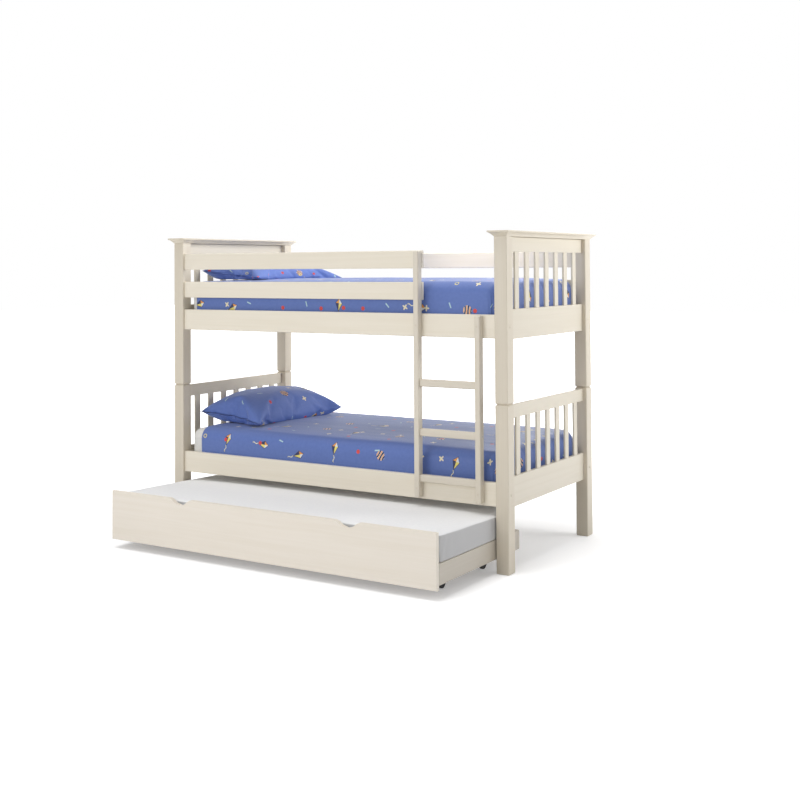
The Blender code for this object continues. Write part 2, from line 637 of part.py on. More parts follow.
def finger_notch(middle, top):
    """The points of one finger cut-out: eased shoulders that run down to a round bottom."""
    points = []
    for step in range(FINGER_NOTCH_STEPS + 1):
        share = 2 * step / FINGER_NOTCH_STEPS - 1
        bell = (1 - abs(share) ** FINGER_NOTCH_ROUND_POWER) ** FINGER_NOTCH_SHOULDER_POWER
        points.append((middle - share * FINGER_NOTCH_WIDTH / 2, top - FINGER_NOTCH_DEPTH * bell))
    return points


def make_trundle_panel():
    """The trundle's front: a board with two finger cut-outs in its top edge."""
    half = TRUNDLE_LENGTH / 2
    top = TRUNDLE_PANEL_HEIGHT
    outline = [(-half, 0), (half, 0), (half, top)]
    for middle in (FINGER_NOTCH_OFFSET, -FINGER_NOTCH_OFFSET):
        outline += finger_notch(middle, top)
    outline.append((-half, top))
    bm = bmesh.new()
    loft(bm, [[(x, y, z) for x, z in outline] for y in (0, TRUNDLE_PANEL_THICKNESS)])
    rims = [edge for edge in bm.edges if abs(edge.verts[0].co.y - edge.verts[1].co.y) < TRUNDLE_PANEL_EASE]
    bmesh.ops.bevel(bm, geom=rims, offset=TRUNDLE_PANEL_EASE, segments=1, affect="EDGES")
    piece("trundle_front_panel", bm, (0, TRUNDLE_FRONT, TRUNDLE_PANEL_LIFT), LACQUER)


def castor_places():
    """The middles of the two castors along a trundle side rail, front and back."""
    front = TRUNDLE_FRONT + TRUNDLE_PANEL_THICKNESS + CASTOR_END_INSET
    back = TRUNDLE_FRONT + TRUNDLE_DEPTH - TRUNDLE_RAIL_THICKNESS - CASTOR_END_INSET
    return (("front", front), ("back", back))


def make_trundle_rails():
    """Side rails with a block for each castor, a back rail across their ends, and the deck's bearers."""
    side_start = TRUNDLE_FRONT + TRUNDLE_PANEL_THICKNESS + SEAT_GAP
    side_end = TRUNDLE_FRONT + TRUNDLE_DEPTH - TRUNDLE_RAIL_THICKNESS - SEAT_GAP
    middle_z = TRUNDLE_RAIL_LIFT + TRUNDLE_RAIL_HEIGHT / 2
    section = (TRUNDLE_RAIL_THICKNESS, TRUNDLE_RAIL_HEIGHT, TRUNDLE_RAIL_EASE)
    for x_side, end in ((-1, "left"), (1, "right")):
        bm = bmesh.new()
        middle_y = (side_start + side_end) / 2
        half = (side_end - side_start) / 2
        bar(bm, "Y", ((-half, *section), (half, *section)))
        x = x_side * (TRUNDLE_LENGTH - TRUNDLE_RAIL_THICKNESS) / 2
        rail = piece(f"trundle_side_rail_{end}", bm, (x, middle_y, middle_z), LACQUER)
        blocks = bmesh.new()
        near = -x_side * (TRUNDLE_RAIL_THICKNESS / 2 - OVERRUN)
        far = -x_side * (TRUNDLE_RAIL_THICKNESS / 2 + CASTOR_BLOCK_WIDTH)
        base = CASTOR_HEIGHT + SEAT_GAP - middle_z
        for _, castor_y in castor_places():
            low = (min(near, far), castor_y - middle_y - CASTOR_BLOCK_LENGTH / 2, base)
            high = (max(near, far), castor_y - middle_y + CASTOR_BLOCK_LENGTH / 2, base + CASTOR_BLOCK_HEIGHT)
            box(blocks, low, high)
        combine(rail, blocks, "UNION")

    bm = bmesh.new()
    half = TRUNDLE_LENGTH / 2
    bar(bm, "X", eased_ends(-half, half, *section))
    back_middle = TRUNDLE_FRONT + TRUNDLE_DEPTH - TRUNDLE_RAIL_THICKNESS / 2
    piece("trundle_back_rail", bm, (0, back_middle, middle_z), LACQUER)

    bearer_half = TRUNDLE_LENGTH / 2 - TRUNDLE_RAIL_THICKNESS - SEAT_GAP
    bearer_z = TRUNDLE_DECK_BASE - SEAT_GAP - BEARER_HEIGHT / 2
    front_y = TRUNDLE_FRONT + TRUNDLE_PANEL_THICKNESS + SEAT_GAP + BEARER_WIDTH / 2
    back_y = back_middle - TRUNDLE_RAIL_THICKNESS / 2 - SEAT_GAP - BEARER_WIDTH / 2
    for row, y in (("front", front_y), ("back", back_y)):
        bm = bmesh.new()
        bar(bm, "X", eased_ends(-bearer_half, bearer_half, BEARER_WIDTH, BEARER_HEIGHT, BEARER_EASE))
        piece(f"trundle_bearer_{row}", bm, (0, y, bearer_z), BARE_PINE)


def cheek_outline():
    """A castor cheek from the side: wide under the plate, and round about the axle."""
    plate_rise = CASTOR_HEIGHT - WHEEL_RADIUS - CASTOR_PLATE_THICKNESS / 2
    points = [(CASTOR_CHEEK_LENGTH / 2, plate_rise), (-CASTOR_CHEEK_LENGTH / 2, plate_rise)]
    for step in range(CASTOR_CHEEK_STEPS + 1):
        angle = math.pi * (1 + step / CASTOR_CHEEK_STEPS)
        points.append((CASTOR_CHEEK_RADIUS * math.cos(angle), CASTOR_CHEEK_RADIUS * math.sin(angle)))
    return points


def make_castor_housing(name, place):
    """A plate, two cheeks and the riveted axle. Its own origin is on the axle."""
    plate_top = CASTOR_HEIGHT - WHEEL_RADIUS
    half_width = CASTOR_PLATE_WIDTH / 2
    half_length = CASTOR_PLATE_LENGTH / 2
    bm = bmesh.new()
    low = (-half_width, -half_length, plate_top - CASTOR_PLATE_THICKNESS)
    box(bm, low, (half_width, half_length, plate_top))
    housing = piece(name, bm, place, BLACK_PLASTIC)
    cheeks = bmesh.new()
    inner = WHEEL_WIDTH / 2 + CASTOR_CHEEK_GAP
    outer = inner + CASTOR_CHEEK_THICKNESS
    for start, end in ((-outer, -inner), (inner, outer)):
        loft(cheeks, [[(x, y, z) for y, z in cheek_outline()] for x in (start, end)])
    combine(housing, cheeks, "UNION")
    axle = bmesh.new()
    half_axle = outer + CASTOR_CHEEK_GAP
    rod(axle, "X", ((-half_axle, AXLE_RADIUS), (half_axle, AXLE_RADIUS)), WHEEL_SIDES)
    combine(housing, axle, "UNION")


def wheel_profile():
    """Half of the wheel's section, from its bore out to its tread: (place along the axle, radius)."""
    half = WHEEL_WIDTH / 2
    web = half - WHEEL_WEB_RECESS
    rim = WHEEL_RADIUS - WHEEL_RIM_WIDTH
    one_side = (
        (half, AXLE_RADIUS + AXLE_CLEARANCE),
        (half, WHEEL_HUB_RADIUS),
        (web, WHEEL_HUB_RADIUS),
        (web, rim),
        (half, rim),
        (half, WHEEL_RADIUS - WHEEL_TREAD_EASE),
        (half - WHEEL_TREAD_EASE, WHEEL_RADIUS),
    )
    return one_side + tuple((-along, radius) for along, radius in reversed(one_side))


def make_wheel(name, place):
    """A castor wheel turned about its bore: its section goes once round as a ring."""
    bm = bmesh.new()
    rings = []
    for along, radius in wheel_profile():
        rings.append([bm.verts.new((along, u, v)) for u, v in circle(radius, WHEEL_SIDES)])
    for near, far in zip(rings, rings[1:] + rings[:1]):
        for index, corner in enumerate(near):
            following = (index + 1) % WHEEL_SIDES
            bm.faces.new((corner, near[following], far[following], far[index]))
    piece(name, bm, place, BLACK_RUBBER, smooth=True)


def make_castors():
    x_inner = TRUNDLE_LENGTH / 2 - TRUNDLE_RAIL_THICKNESS - CASTOR_BLOCK_WIDTH / 2
    for x_side, end in ((-1, "left"), (1, "right")):
        for row, y in castor_places():
            place = (x_side * x_inner, y, WHEEL_RADIUS)
            make_castor_housing(f"castor_housing_{row}_{end}", place)
            make_wheel(f"castor_wheel_{row}_{end}", place)


def cushion_outline(length, depth, inset, radius, side_points, end_points):
    """A rounded rectangle drawn in by the inset, with points spread along its straight runs."""
    corner_radius = max(radius - inset, MATTRESS_LEAST_RADIUS)
    corner = (corner_radius, MATTRESS_CORNER_STEPS)
    arcs = rounded_rectangle(length - 2 * inset, depth - 2 * inset, *corner)
    points = []
    per_corner = MATTRESS_CORNER_STEPS + 1
    for quarter, extra in enumerate((side_points, end_points, side_points, end_points)):
        corner = arcs[quarter * per_corner : (quarter + 1) * per_corner]
        points += corner
        start = corner[-1]
        stop = arcs[(quarter + 1) * per_corner % len(arcs)]
        for step in range(1, extra + 1):
            share = step / (extra + 1)
            points.append((start[0] + share * (stop[0] - start[0]), start[1] + share * (stop[1] - start[1])))
    return points


def cushion_levels(height):
    """The cushion's section as (inset, rise): a side that swells at mid height, then the crown."""
    levels = []
    for step in range(MATTRESS_SIDE_STEPS + 1):
        share = step / MATTRESS_SIDE_STEPS
        swell = math.sin(math.pi * share) ** MATTRESS_SIDE_POWER
        levels.append((MATTRESS_EDGE_DRAW * (1 - swell), height * share))
    for step in range(1, MATTRESS_CROWN_STEPS + 1):
        share = step / MATTRESS_CROWN_STEPS
        reach = MATTRESS_EDGE_DRAW + MATTRESS_CROWN_REACH * share**MATTRESS_CROWN_REACH_POWER
        turn = math.pi / 2 * share**MATTRESS_CROWN_RISE_POWER
        levels.append((reach, height + MATTRESS_CROWN * math.sin(turn)))
    return levels


def cushion(bm, length, depth, height, growth=0, fold=0, fall_share=0, side_points=0, end_points=0):
    """A mattress shape standing on z = 0. Growth pads its sides and top, and fold ripples its upper edge."""
    rings = []
    long_side = length + 2 * growth
    wide_side = depth + 2 * growth
    for inset, rise in cushion_levels(height):
        radius = MATTRESS_CORNER_RADIUS + growth
        outline = cushion_outline(long_side, wide_side, inset, radius, side_points, end_points)
        share = rise / height
        lift = rise + growth * share
        ring = []
        for x, y in outline:
            wave = math.sin(COVER_FOLD_COUNT * math.tau * (x / length + COVER_FOLD_SLANT_SHARE * y / depth))
            near_edge = 1 - abs(share - COVER_FOLD_HEIGHT_SHARE) / COVER_FOLD_REACH_SHARE
            edge_share = max(0, near_edge) if share <= 1 else 0
            push = 1 + 2 * fold * edge_share * wave / depth
            fall = 1 - fall_share * (y / depth + 0.5) * min(share, 1)
            ring.append((x, y * push, lift * fall))
        rings.append(ring)
    loft(bm, rings)


def make_mattress(name, length, depth, height, place, fall_share=0):
    bm = bmesh.new()
    cushion(bm, length, depth, height, fall_share=fall_share)
    piece(name, bm, place, TICKING, smooth=True)


def make_cover(name, length, depth, height, place, inset):
    """A thin cover over a mattress, open at its left end and below, tucked in behind the side rails."""
    bm = bmesh.new()
    growth = SEAT_GAP + COVER_THICKNESS
    cushion(bm, length, depth, height, growth, COVER_FOLD, 0, COVER_SIDE_POINTS, COVER_END_POINTS)
    cover = piece(name, bm, place, BLUE_COTTON, smooth=True)
    far_x = length
    far_y = depth
    below_hem = bmesh.new()
    box(below_hem, (-far_x, -far_y, -COVER_HEM_RISE), (far_x, far_y, COVER_HEM_RISE))
    combine(cover, below_hem, "DIFFERENCE")
    left_of_edge = bmesh.new()
    above = height + MATTRESS_CROWN + growth + OVERRUN
    box(left_of_edge, (-far_x, -far_y, 0), (inset - length / 2, far_y, above))
    combine(cover, left_of_edge, "DIFFERENCE")
    filling = bmesh.new()
    cushion(filling, length, depth, height, SEAT_GAP)
    combine(cover, filling, "DIFFERENCE")


def pillow_point(across, along, top_bulge, under_bulge, face):
    """A point of the pillow, from shares of its half width and half length, on its top or its underside."""
    x = across * PILLOW_WIDTH / 2 * (1 - PILLOW_DRAW_SHARE * (1 - along**PILLOW_DRAW_POWER))
    y = along * PILLOW_LENGTH / 2 * (1 - PILLOW_DRAW_SHARE * (1 - across**PILLOW_DRAW_POWER))
    tilt = (1 - across) / 2
    seam = PILLOW_RIGHT_SEAM + (PILLOW_LEFT_SEAM - PILLOW_RIGHT_SEAM) * tilt**PILLOW_TILT_POWER
    fullness = ((1 - across**2) * (1 - along**2)) ** PILLOW_FULLNESS_POWER
    if face > 0:
        return (x, y, seam + top_bulge * fullness)
    return (x, y, max(SEAT_GAP, seam - under_bulge * fullness))


def shares_close_at_ends(steps):
    """Shares from -1 to 1 that lie closer together near the ends."""
    return [math.sin(math.pi / 2 * (2 * step / steps - 1)) for step in range(steps + 1)]


def make_pillow(name, place, top_bulge, under_bulge):
    """Two bulging faces sewn together along a seam, its left edge propped up by the end panel."""
    bm = bmesh.new()
    columns = shares_close_at_ends(PILLOW_WIDTH_STEPS)
    rows = shares_close_at_ends(PILLOW_LENGTH_STEPS)
    faces = {}
    for face in (1, -1):
        for i, across in enumerate(columns):
            for j, along in enumerate(rows):
                on_seam = i in (0, PILLOW_WIDTH_STEPS) or j in (0, PILLOW_LENGTH_STEPS)
                if on_seam and face < 0:
                    faces[face, i, j] = faces[1, i, j]
                else:
                    point = pillow_point(across, along, top_bulge, under_bulge, face)
                    faces[face, i, j] = bm.verts.new(point)
    for face in (1, -1):
        for i in range(PILLOW_WIDTH_STEPS):
            for j in range(PILLOW_LENGTH_STEPS):
                corners = ((i, j), (i + 1, j), (i + 1, j + 1), (i, j + 1))
                bm.faces.new([faces[face, *corner] for corner in corners[::face]])
    pillow = piece(name, bm, place, BLUE_COTTON, smooth=True)
    pillow.rotation_euler.z = PILLOW_TURN


def make_bedding():
    """A mattress, a cover and a pillow on each bunk, and the trundle's bare mattress."""
    length = INNER_LENGTH - MATTRESS_LEFT_CLEARANCE - MATTRESS_RIGHT_CLEARANCE
    depth = WELL_DEPTH - 2 * MATTRESS_SIDE_CLEARANCE
    middle_x = (MATTRESS_LEFT_CLEARANCE - MATTRESS_RIGHT_CLEARANCE) / 2
    end_panel_face = END_RAIL_RECESS + END_RAIL_THICKNESS - BED_LENGTH / 2
    pillow_reach = (PILLOW_WIDTH * math.cos(PILLOW_TURN) - PILLOW_LENGTH * math.sin(PILLOW_TURN)) / 2
    lower_bulges = (PILLOW_TOP_BULGE, PILLOW_UNDER_BULGE)
    upper_bulges = (UPPER_PILLOW_TOP_BULGE, UPPER_PILLOW_UNDER_BULGE)
    bunks = (
        ("lower", LOWER_DECK_BASE, LOWER_MATTRESS_HEIGHT, LOWER_COVER_INSET, LOWER_PILLOW_GAP, lower_bulges),
        ("upper", UPPER_DECK_BASE, UPPER_MATTRESS_HEIGHT, UPPER_COVER_INSET, UPPER_PILLOW_GAP, upper_bulges),
    )
    for level, deck_base, height, cover_inset, pillow_gap, bulges in bunks:
        base = deck_base + DECK_SLAT_THICKNESS + SEAT_GAP
        place = (middle_x, BED_MIDDLE, base)
        make_mattress(f"{level}_mattress", length, depth, height, place)
        make_cover(f"{level}_cover", length, depth, height, place, cover_inset)
        top = base + height + MATTRESS_CROWN + COVER_THICKNESS + 2 * SEAT_GAP
        pillow_place = (end_panel_face + pillow_gap + pillow_reach, BED_MIDDLE, top)
        make_pillow(f"{level}_pillow", pillow_place, *bulges)

    trundle_length = INNER_LENGTH - TRUNDLE_MATTRESS_LEFT_CLEARANCE - TRUNDLE_MATTRESS_RIGHT_CLEARANCE
    trundle_x = (TRUNDLE_MATTRESS_LEFT_CLEARANCE - TRUNDLE_MATTRESS_RIGHT_CLEARANCE) / 2
    trundle_start = TRUNDLE_FRONT + TRUNDLE_PANEL_THICKNESS + TRUNDLE_MATTRESS_SETBACK
    trundle_depth = TRUNDLE_FRONT + TRUNDLE_DEPTH - TRUNDLE_MATTRESS_BACK_INSET - trundle_start
    trundle_y = trundle_start + trundle_depth / 2
    trundle_place = (trundle_x, trundle_y, TRUNDLE_RAIL_TOP + SEAT_GAP)
    make_mattress(
        "trundle_mattress",
        trundle_length,
        trundle_depth,
        TRUNDLE_MATTRESS_HEIGHT,
        trundle_place,
        TRUNDLE_MATTRESS_FALL_SHARE,
    )


make_posts()
make_joining_pins()
make_caps()
make_end_panels()
make_side_rails()
make_guard_rails()
make_ladder()
make_slat_decks()
make_trundle_panel()
make_trundle_rails()
make_castors()
make_bedding()
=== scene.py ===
"""The looks of a lacquered pine bunk bed with a trundle bed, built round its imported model.

The model's boards, pins and castors stay and are given their finishes. The mattresses, covers and pillows
are replaced by sewn and padded pieces, and the small fasteners are added. X runs along the bed with the
ladder near its +X end, Y from the front to the back and Z up from the floor. Lengths are in metres.
"""

import math

import bmesh
import bpy
import numpy as np
from mathutils import Matrix, Vector, noise


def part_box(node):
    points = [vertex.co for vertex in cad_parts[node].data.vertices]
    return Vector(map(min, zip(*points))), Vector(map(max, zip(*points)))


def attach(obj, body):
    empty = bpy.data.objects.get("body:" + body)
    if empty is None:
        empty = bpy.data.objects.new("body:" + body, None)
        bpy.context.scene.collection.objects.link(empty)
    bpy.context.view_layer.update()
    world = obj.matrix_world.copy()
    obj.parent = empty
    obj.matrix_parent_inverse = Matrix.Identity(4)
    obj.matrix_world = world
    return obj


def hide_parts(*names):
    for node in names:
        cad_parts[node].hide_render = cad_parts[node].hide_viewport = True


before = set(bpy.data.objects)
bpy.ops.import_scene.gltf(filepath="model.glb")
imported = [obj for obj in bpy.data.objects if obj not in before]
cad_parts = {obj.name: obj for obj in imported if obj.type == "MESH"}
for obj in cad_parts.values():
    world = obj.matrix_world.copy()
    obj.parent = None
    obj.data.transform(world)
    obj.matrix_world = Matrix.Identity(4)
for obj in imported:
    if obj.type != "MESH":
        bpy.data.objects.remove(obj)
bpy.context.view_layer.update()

# Posts: square pine posts with eased edges, lacquered ivory. The brush and the sanding leave the grain
# faintly in the film, and the lacquer has a satin sheen. Steel pins join the upper four to the lower.
POST_IVORY = (0.675, 0.612, 0.505)
GRAIN_TURNS = {"X": (0, math.pi / 2, 0), "Y": (math.pi / 2, 0, 0), "Z": (0, 0, 0)}
STREAK_STRETCH = (120, 120, 2.2)
BAND_STRETCH = (26, 26, 0.9)
BAND_RANGE = (0.3, 0.72)
STREAK_SHADE = 0.06
THIN_FILM_SHARES = (0.975, 0.967, 0.945)
FULL_FILM_SHARE = 1.015
SATIN_ROUGHNESS = (0.34, 0.46)
COAT_WEIGHT = 0.15
COAT_ROUGHNESS = 0.3


def feed(tree, node, sockets):
    """Gives each named socket of a node a value or another node's output."""
    for name, value in sockets.items():
        if isinstance(value, bpy.types.NodeSocket):
            tree.links.new(value, node.inputs[name])
        else:
            node.inputs[name].default_value = value


def add(tree, kind, sockets=None, **settings):
    """A shader node with its settings and what its sockets are given."""
    node = tree.nodes.new(kind)
    for name, value in settings.items():
        setattr(node, name, value)
    feed(tree, node, sockets or {})
    return node


def new_finish(name):
    """An empty finish: its node tree, its shader and the place on the object."""
    material = bpy.data.materials.new(name)
    material.use_nodes = True
    tree = material.node_tree
    place = add(tree, "ShaderNodeTexCoord").outputs["Object"]
    return material, tree, tree.nodes["Principled BSDF"], place


def blend_colour(tree, share, first, second, mode="MIX"):
    """Mixes two colours, each three channels or a socket, and gives the output socket."""
    mix = add(tree, "ShaderNodeMix", data_type="RGBA", blend_type=mode, clamp_factor=True)
    feed(tree, mix, {0: share})
    for index, colour in ((6, first), (7, second)):
        feed(tree, mix, {index: (*colour, 1) if isinstance(colour, tuple) else colour})
    return mix.outputs[2]


def blend_value(tree, share, first, second):
    """Mixes two values, and gives the output socket."""
    return add(tree, "ShaderNodeMix", {"Factor": share, "A": first, "B": second}).outputs["Result"]


def spread(tree, value, low, high, from_low=0.0, from_high=1.0):
    """Maps a value from one range onto another."""
    ends = {"Value": value, "From Min": from_low, "From Max": from_high, "To Min": low, "To Max": high}
    return add(tree, "ShaderNodeMapRange", ends).outputs["Result"]


def reckon(tree, operation, *values):
    """One step of arithmetic."""
    return add(tree, "ShaderNodeMath", dict(enumerate(values)), operation=operation).outputs["Value"]


def cloudy(tree, place, scale, detail, distortion=0.0):
    """Noise over a place, from 0 to 1."""
    sockets = {"Vector": place, "Scale": scale, "Detail": detail, "Distortion": distortion}
    return add(tree, "ShaderNodeTexNoise", sockets).outputs["Fac"]


def relief(tree, strength, depth, height, base=None):
    """Raises the surface by a height's pattern, over another relief where one is given."""
    sockets = {"Strength": strength, "Distance": depth, "Height": height}
    if base is not None:
        sockets["Normal"] = base
    return add(tree, "ShaderNodeBump", sockets).outputs["Normal"]


def grain_field(tree, place, axis):
    """Fine streaks and broad tone bands of pine that run along one axis."""
    turned = add(tree, "ShaderNodeMapping", {"Vector": place, "Rotation": GRAIN_TURNS[axis]})
    fields = []
    for stretch, detail, distortion in ((STREAK_STRETCH, 5.0, 0.6), (BAND_STRETCH, 3.0, 1.2)):
        sockets = {"Vector": turned.outputs["Vector"], "Scale": stretch}
        stretched = add(tree, "ShaderNodeMapping", sockets).outputs["Vector"]
        fields.append(cloudy(tree, stretched, 1.0, detail, distortion))
    return fields


def lacquer(name, colour, axis, turn_above=None):
    """Ivory satin lacquer over pine. Above turn_above the grain stands upright, as it does in slats."""
    material, tree, shader, place = new_finish(name)
    streaks, bands = grain_field(tree, place, axis)
    if turn_above is not None:
        upright_streaks, upright_bands = grain_field(tree, place, "Z")
        height = add(tree, "ShaderNodeSeparateXYZ", {"Vector": place}).outputs["Z"]
        above = reckon(tree, "GREATER_THAN", height, turn_above)
        streaks = blend_value(tree, above, streaks, upright_streaks)
        bands = blend_value(tree, above, bands, upright_bands)
    thin = tuple(channel * share for channel, share in zip(colour, THIN_FILM_SHARES))
    full = tuple(min(1, channel * FULL_FILM_SHARE) for channel in colour)
    tone = blend_colour(tree, spread(tree, bands, 0, 1, *BAND_RANGE), thin, full)
    shade = spread(tree, streaks, STREAK_SHADE, 0, 0.3, 0.6)
    film = cloudy(tree, place, 900.0, 1.0)
    grain = relief(tree, 0.25, 0.0004, streaks)
    surface = {
        "Base Color": blend_colour(tree, shade, tone, thin, "MULTIPLY"),
        "Roughness": spread(tree, streaks, *SATIN_ROUGHNESS, 0.3, 0.7),
        "Coat Weight": COAT_WEIGHT,
        "Coat Roughness": COAT_ROUGHNESS,
        "Normal": relief(tree, 0.05, 0.0002, film, grain),
    }
    feed(tree, shader, surface)
    return material


def named(words):
    """The names of the model's nodes that have the given words in them."""
    return [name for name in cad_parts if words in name]


def dress(names, material):
    """Gives the model's nodes their finish."""
    for name in names:
        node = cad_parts[name]
        node.data.materials.clear()
        node.data.materials.append(material)


dress(named("_post_"), lacquer("post_lacquer", POST_IVORY, "Z"))

# Joining pins: zinc-plated steel dowels between the lower and the upper posts. They are hidden in the
# posts' bores once the bed is up.
PIN_ZINC = (0.62, 0.62, 0.63)
DULL_ZINC_SHARE = 0.8
ZINC_ROUGHNESS = (0.25, 0.45)


def plated_steel(name, colour):
    """Zinc-plated steel with a slightly mottled, brushed surface."""
    material, tree, shader, place = new_finish(name)
    mottle = cloudy(tree, place, 160.0, 4.0)
    dull = tuple(channel * DULL_ZINC_SHARE for channel in colour)
    surface = {
        "Base Color": blend_colour(tree, spread(tree, mottle, 0, 1, 0.35, 0.65), dull, colour),
        "Roughness": spread(tree, mottle, *ZINC_ROUGHNESS),
        "Metallic": 1.0,
    }
    feed(tree, shader, surface)
    return material


zinc = plated_steel("zinc_plate", PIN_ZINC)
dress(named("joining_pin_"), zinc)

# Caps: moulded boards, coved below to a thin square lip, glued over each pair of upper posts. Their grain
# runs from the front to the back.
CAP_IVORY = (0.675, 0.612, 0.50)

dress(named("cap_moulding_"), lacquer("cap_lacquer", CAP_IVORY, "Y"))

# End panels: a top rail mortised for seven slats, over a deep bottom rail that the slats stand in. The
# boards run along Y and the slats upright, so the grain turns where the slats leave the bottom rail.
END_IVORY = (0.70, 0.645, 0.54)
BOTTOM_RAIL_HEIGHT = 0.141
LEVELS = ("lower", "upper")

dress(named("_end_top_rail_"), lacquer("end_rail_lacquer", END_IVORY, "Y"))
for level in LEVELS:
    panels = named(f"{level}_end_slatted_rail_")
    slats_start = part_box(panels[0])[0].z + BOTTOM_RAIL_HEIGHT
    dress(panels, lacquer(f"{level}_slat_lacquer", END_IVORY, "Y", slats_start))

# Side rails and guard rails: planed boards along X between the posts. They are lacquered before they are
# bolted on, and those of the trundle have a finish of their own.
RAIL_IVORY = (0.82, 0.76, 0.645)

rail_names = [name for name in named("side_rail_") + named("guard_rail_") if "trundle" not in name]
dress(rail_names, lacquer("rail_lacquer", RAIL_IVORY, "X"))

# Ladder: two upright stiles housed for three rungs. It is screwed through and bolted over the side rails,
# with a plug over each bolt.
STILE_IVORY = (0.70, 0.643, 0.545)
RUNG_IVORY = (0.69, 0.632, 0.535)

dress(named("ladder_stile_"), lacquer("stile_lacquer", STILE_IVORY, "Z"))
dress(named("ladder_rung_"), lacquer("rung_lacquer", RUNG_IVORY, "X"))

# Fasteners: lacquered caps over the bolts that run through the posts into the side rails, plugs over the
# ladder's bolts, and dished screws that hold the rungs from the stiles' outer faces.
CAP_FORM = (0.0065, 0.0018)
PLUG_FORM = (0.0055, 0.0006)
SCREW_FORM = (0.0035, 0.0005)
BUTTON_SIDES = 24
BUTTON_EASE_SHARE = 0.45
BUTTON_EASE_STEPS = 3
SHARP_TURN = math.radians(50)
ENDS = (("left", -1), ("right", 1))


def mesh_from(bm, name):
    """Ends a working mesh, and gives the mesh that is made of it."""
    mesh = bpy.data.meshes.new(name)
    bm.to_mesh(mesh)
    bm.free()
    return mesh


def new_object(name, data):
    """An object that is in the scene."""
    made = bpy.data.objects.new(name, data)
    bpy.context.scene.collection.objects.link(made)
    return made


def button(name, form, centre, outward, material):
    """A low round head on a board's face: a raised disc of a radius and a rise, its rim eased."""
    radius, rise = form
    bm = bmesh.new()
    bmesh.ops.create_circle(bm, cap_ends=True, segments=BUTTON_SIDES, radius=radius)
    raised = bmesh.ops.extrude_face_region(bm, geom=bm.faces[:])["geom"]
    top = [item for item in raised if isinstance(item, bmesh.types.BMVert)]
    bmesh.ops.translate(bm, verts=top, vec=(0, 0, rise))
    rim = [edge for edge in bm.edges if all(abs(corner.co.z - rise) < rise / 4 for corner in edge.verts)]
    bmesh.ops.bevel(
        bm,
        geom=rim,
        offset=rise * BUTTON_EASE_SHARE,
        affect="EDGES",
        segments=BUTTON_EASE_STEPS,
        profile=0.5,
        material=-1,
    )
    bmesh.ops.recalc_face_normals(bm, faces=bm.faces[:])
    turn = Vector((0, 0, 1)).rotation_difference(Vector(outward)).to_matrix().to_4x4()
    bmesh.ops.transform(bm, matrix=Matrix.Translation(centre) @ turn, verts=bm.verts[:])
    mesh = mesh_from(bm, name)
    mesh.shade_smooth()
    mesh.set_sharp_from_angle(angle=SHARP_TURN)
    mesh.materials.append(material)
    piece = new_object(name, mesh)
    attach(piece, "bedstead")


fastener_lacquer = lacquer("fastener_lacquer", POST_IVORY, "Z")
for level in LEVELS:
    for row in ("front", "back"):
        rail_low, rail_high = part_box(f"{level}_side_rail_{row}")
        for end, side in ENDS:
            post_low, post_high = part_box(f"{level}_post_{row}_{end}")
            face_x = post_high.x if side > 0 else post_low.x
            centre = (face_x, (post_low.y + post_high.y) / 2, (rail_low.z + rail_high.z) / 2)
            name = f"bolt_cap_{level}_{row}_{end}"
            button(name, CAP_FORM, centre, (side, 0, 0), fastener_lacquer)
for end, side in ENDS:
    stile_low, stile_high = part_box(f"ladder_stile_{end}")
    stile_x = (stile_low.x + stile_high.x) / 2
    for level in LEVELS:
        rail_low, rail_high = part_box(f"{level}_side_rail_front")
        centre = (stile_x, stile_low.y, (rail_low.z + rail_high.z) / 2)
        name = f"ladder_plug_{level}_{end}"
        button(name, PLUG_FORM, centre, (0, -1, 0), fastener_lacquer)
    for step in ("low", "middle", "high"):
        rung_low, rung_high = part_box(f"ladder_rung_{step}")
        outer_x = stile_high.x if side > 0 else stile_low.x
        centre = (outer_x, (rung_low.y + rung_high.y) / 2, (rung_low.z + rung_high.z) / 2)
        name = f"rung_screw_{step}_{end}"
        button(name, SCREW_FORM, centre, (side, 0, 0), zinc)

# Slat decks: planed pine slats, left bare, stapled to two woven straps that keep them at their pitch.
# Each slat comes from another part of the tree, so its tone and its rings differ from the next one's.
PINE_LIGHT = (0.72, 0.52, 0.31)
PINE_DARK = (0.50, 0.30, 0.14)
WEBBING = (0.70, 0.68, 0.62)
RING_STRETCH = (1, 1, 0.12)
RING_FORM = {"Scale": 26.0, "Distortion": 7.0, "Detail": 3.0, "Detail Scale": 0.8}
BARE_ROUGHNESS = (0.5, 0.75)
DECK_END_MARGIN = 0.030
DECK_SLAT_WIDTH = 0.070
STRAP_THICKNESS = 0.0015


def reckon_places(tree, operation, *values):
    """One step of arithmetic with places."""
    sockets = dict(enumerate(values))
    return add(tree, "ShaderNodeVectorMath", sockets, operation=operation).outputs["Vector"]


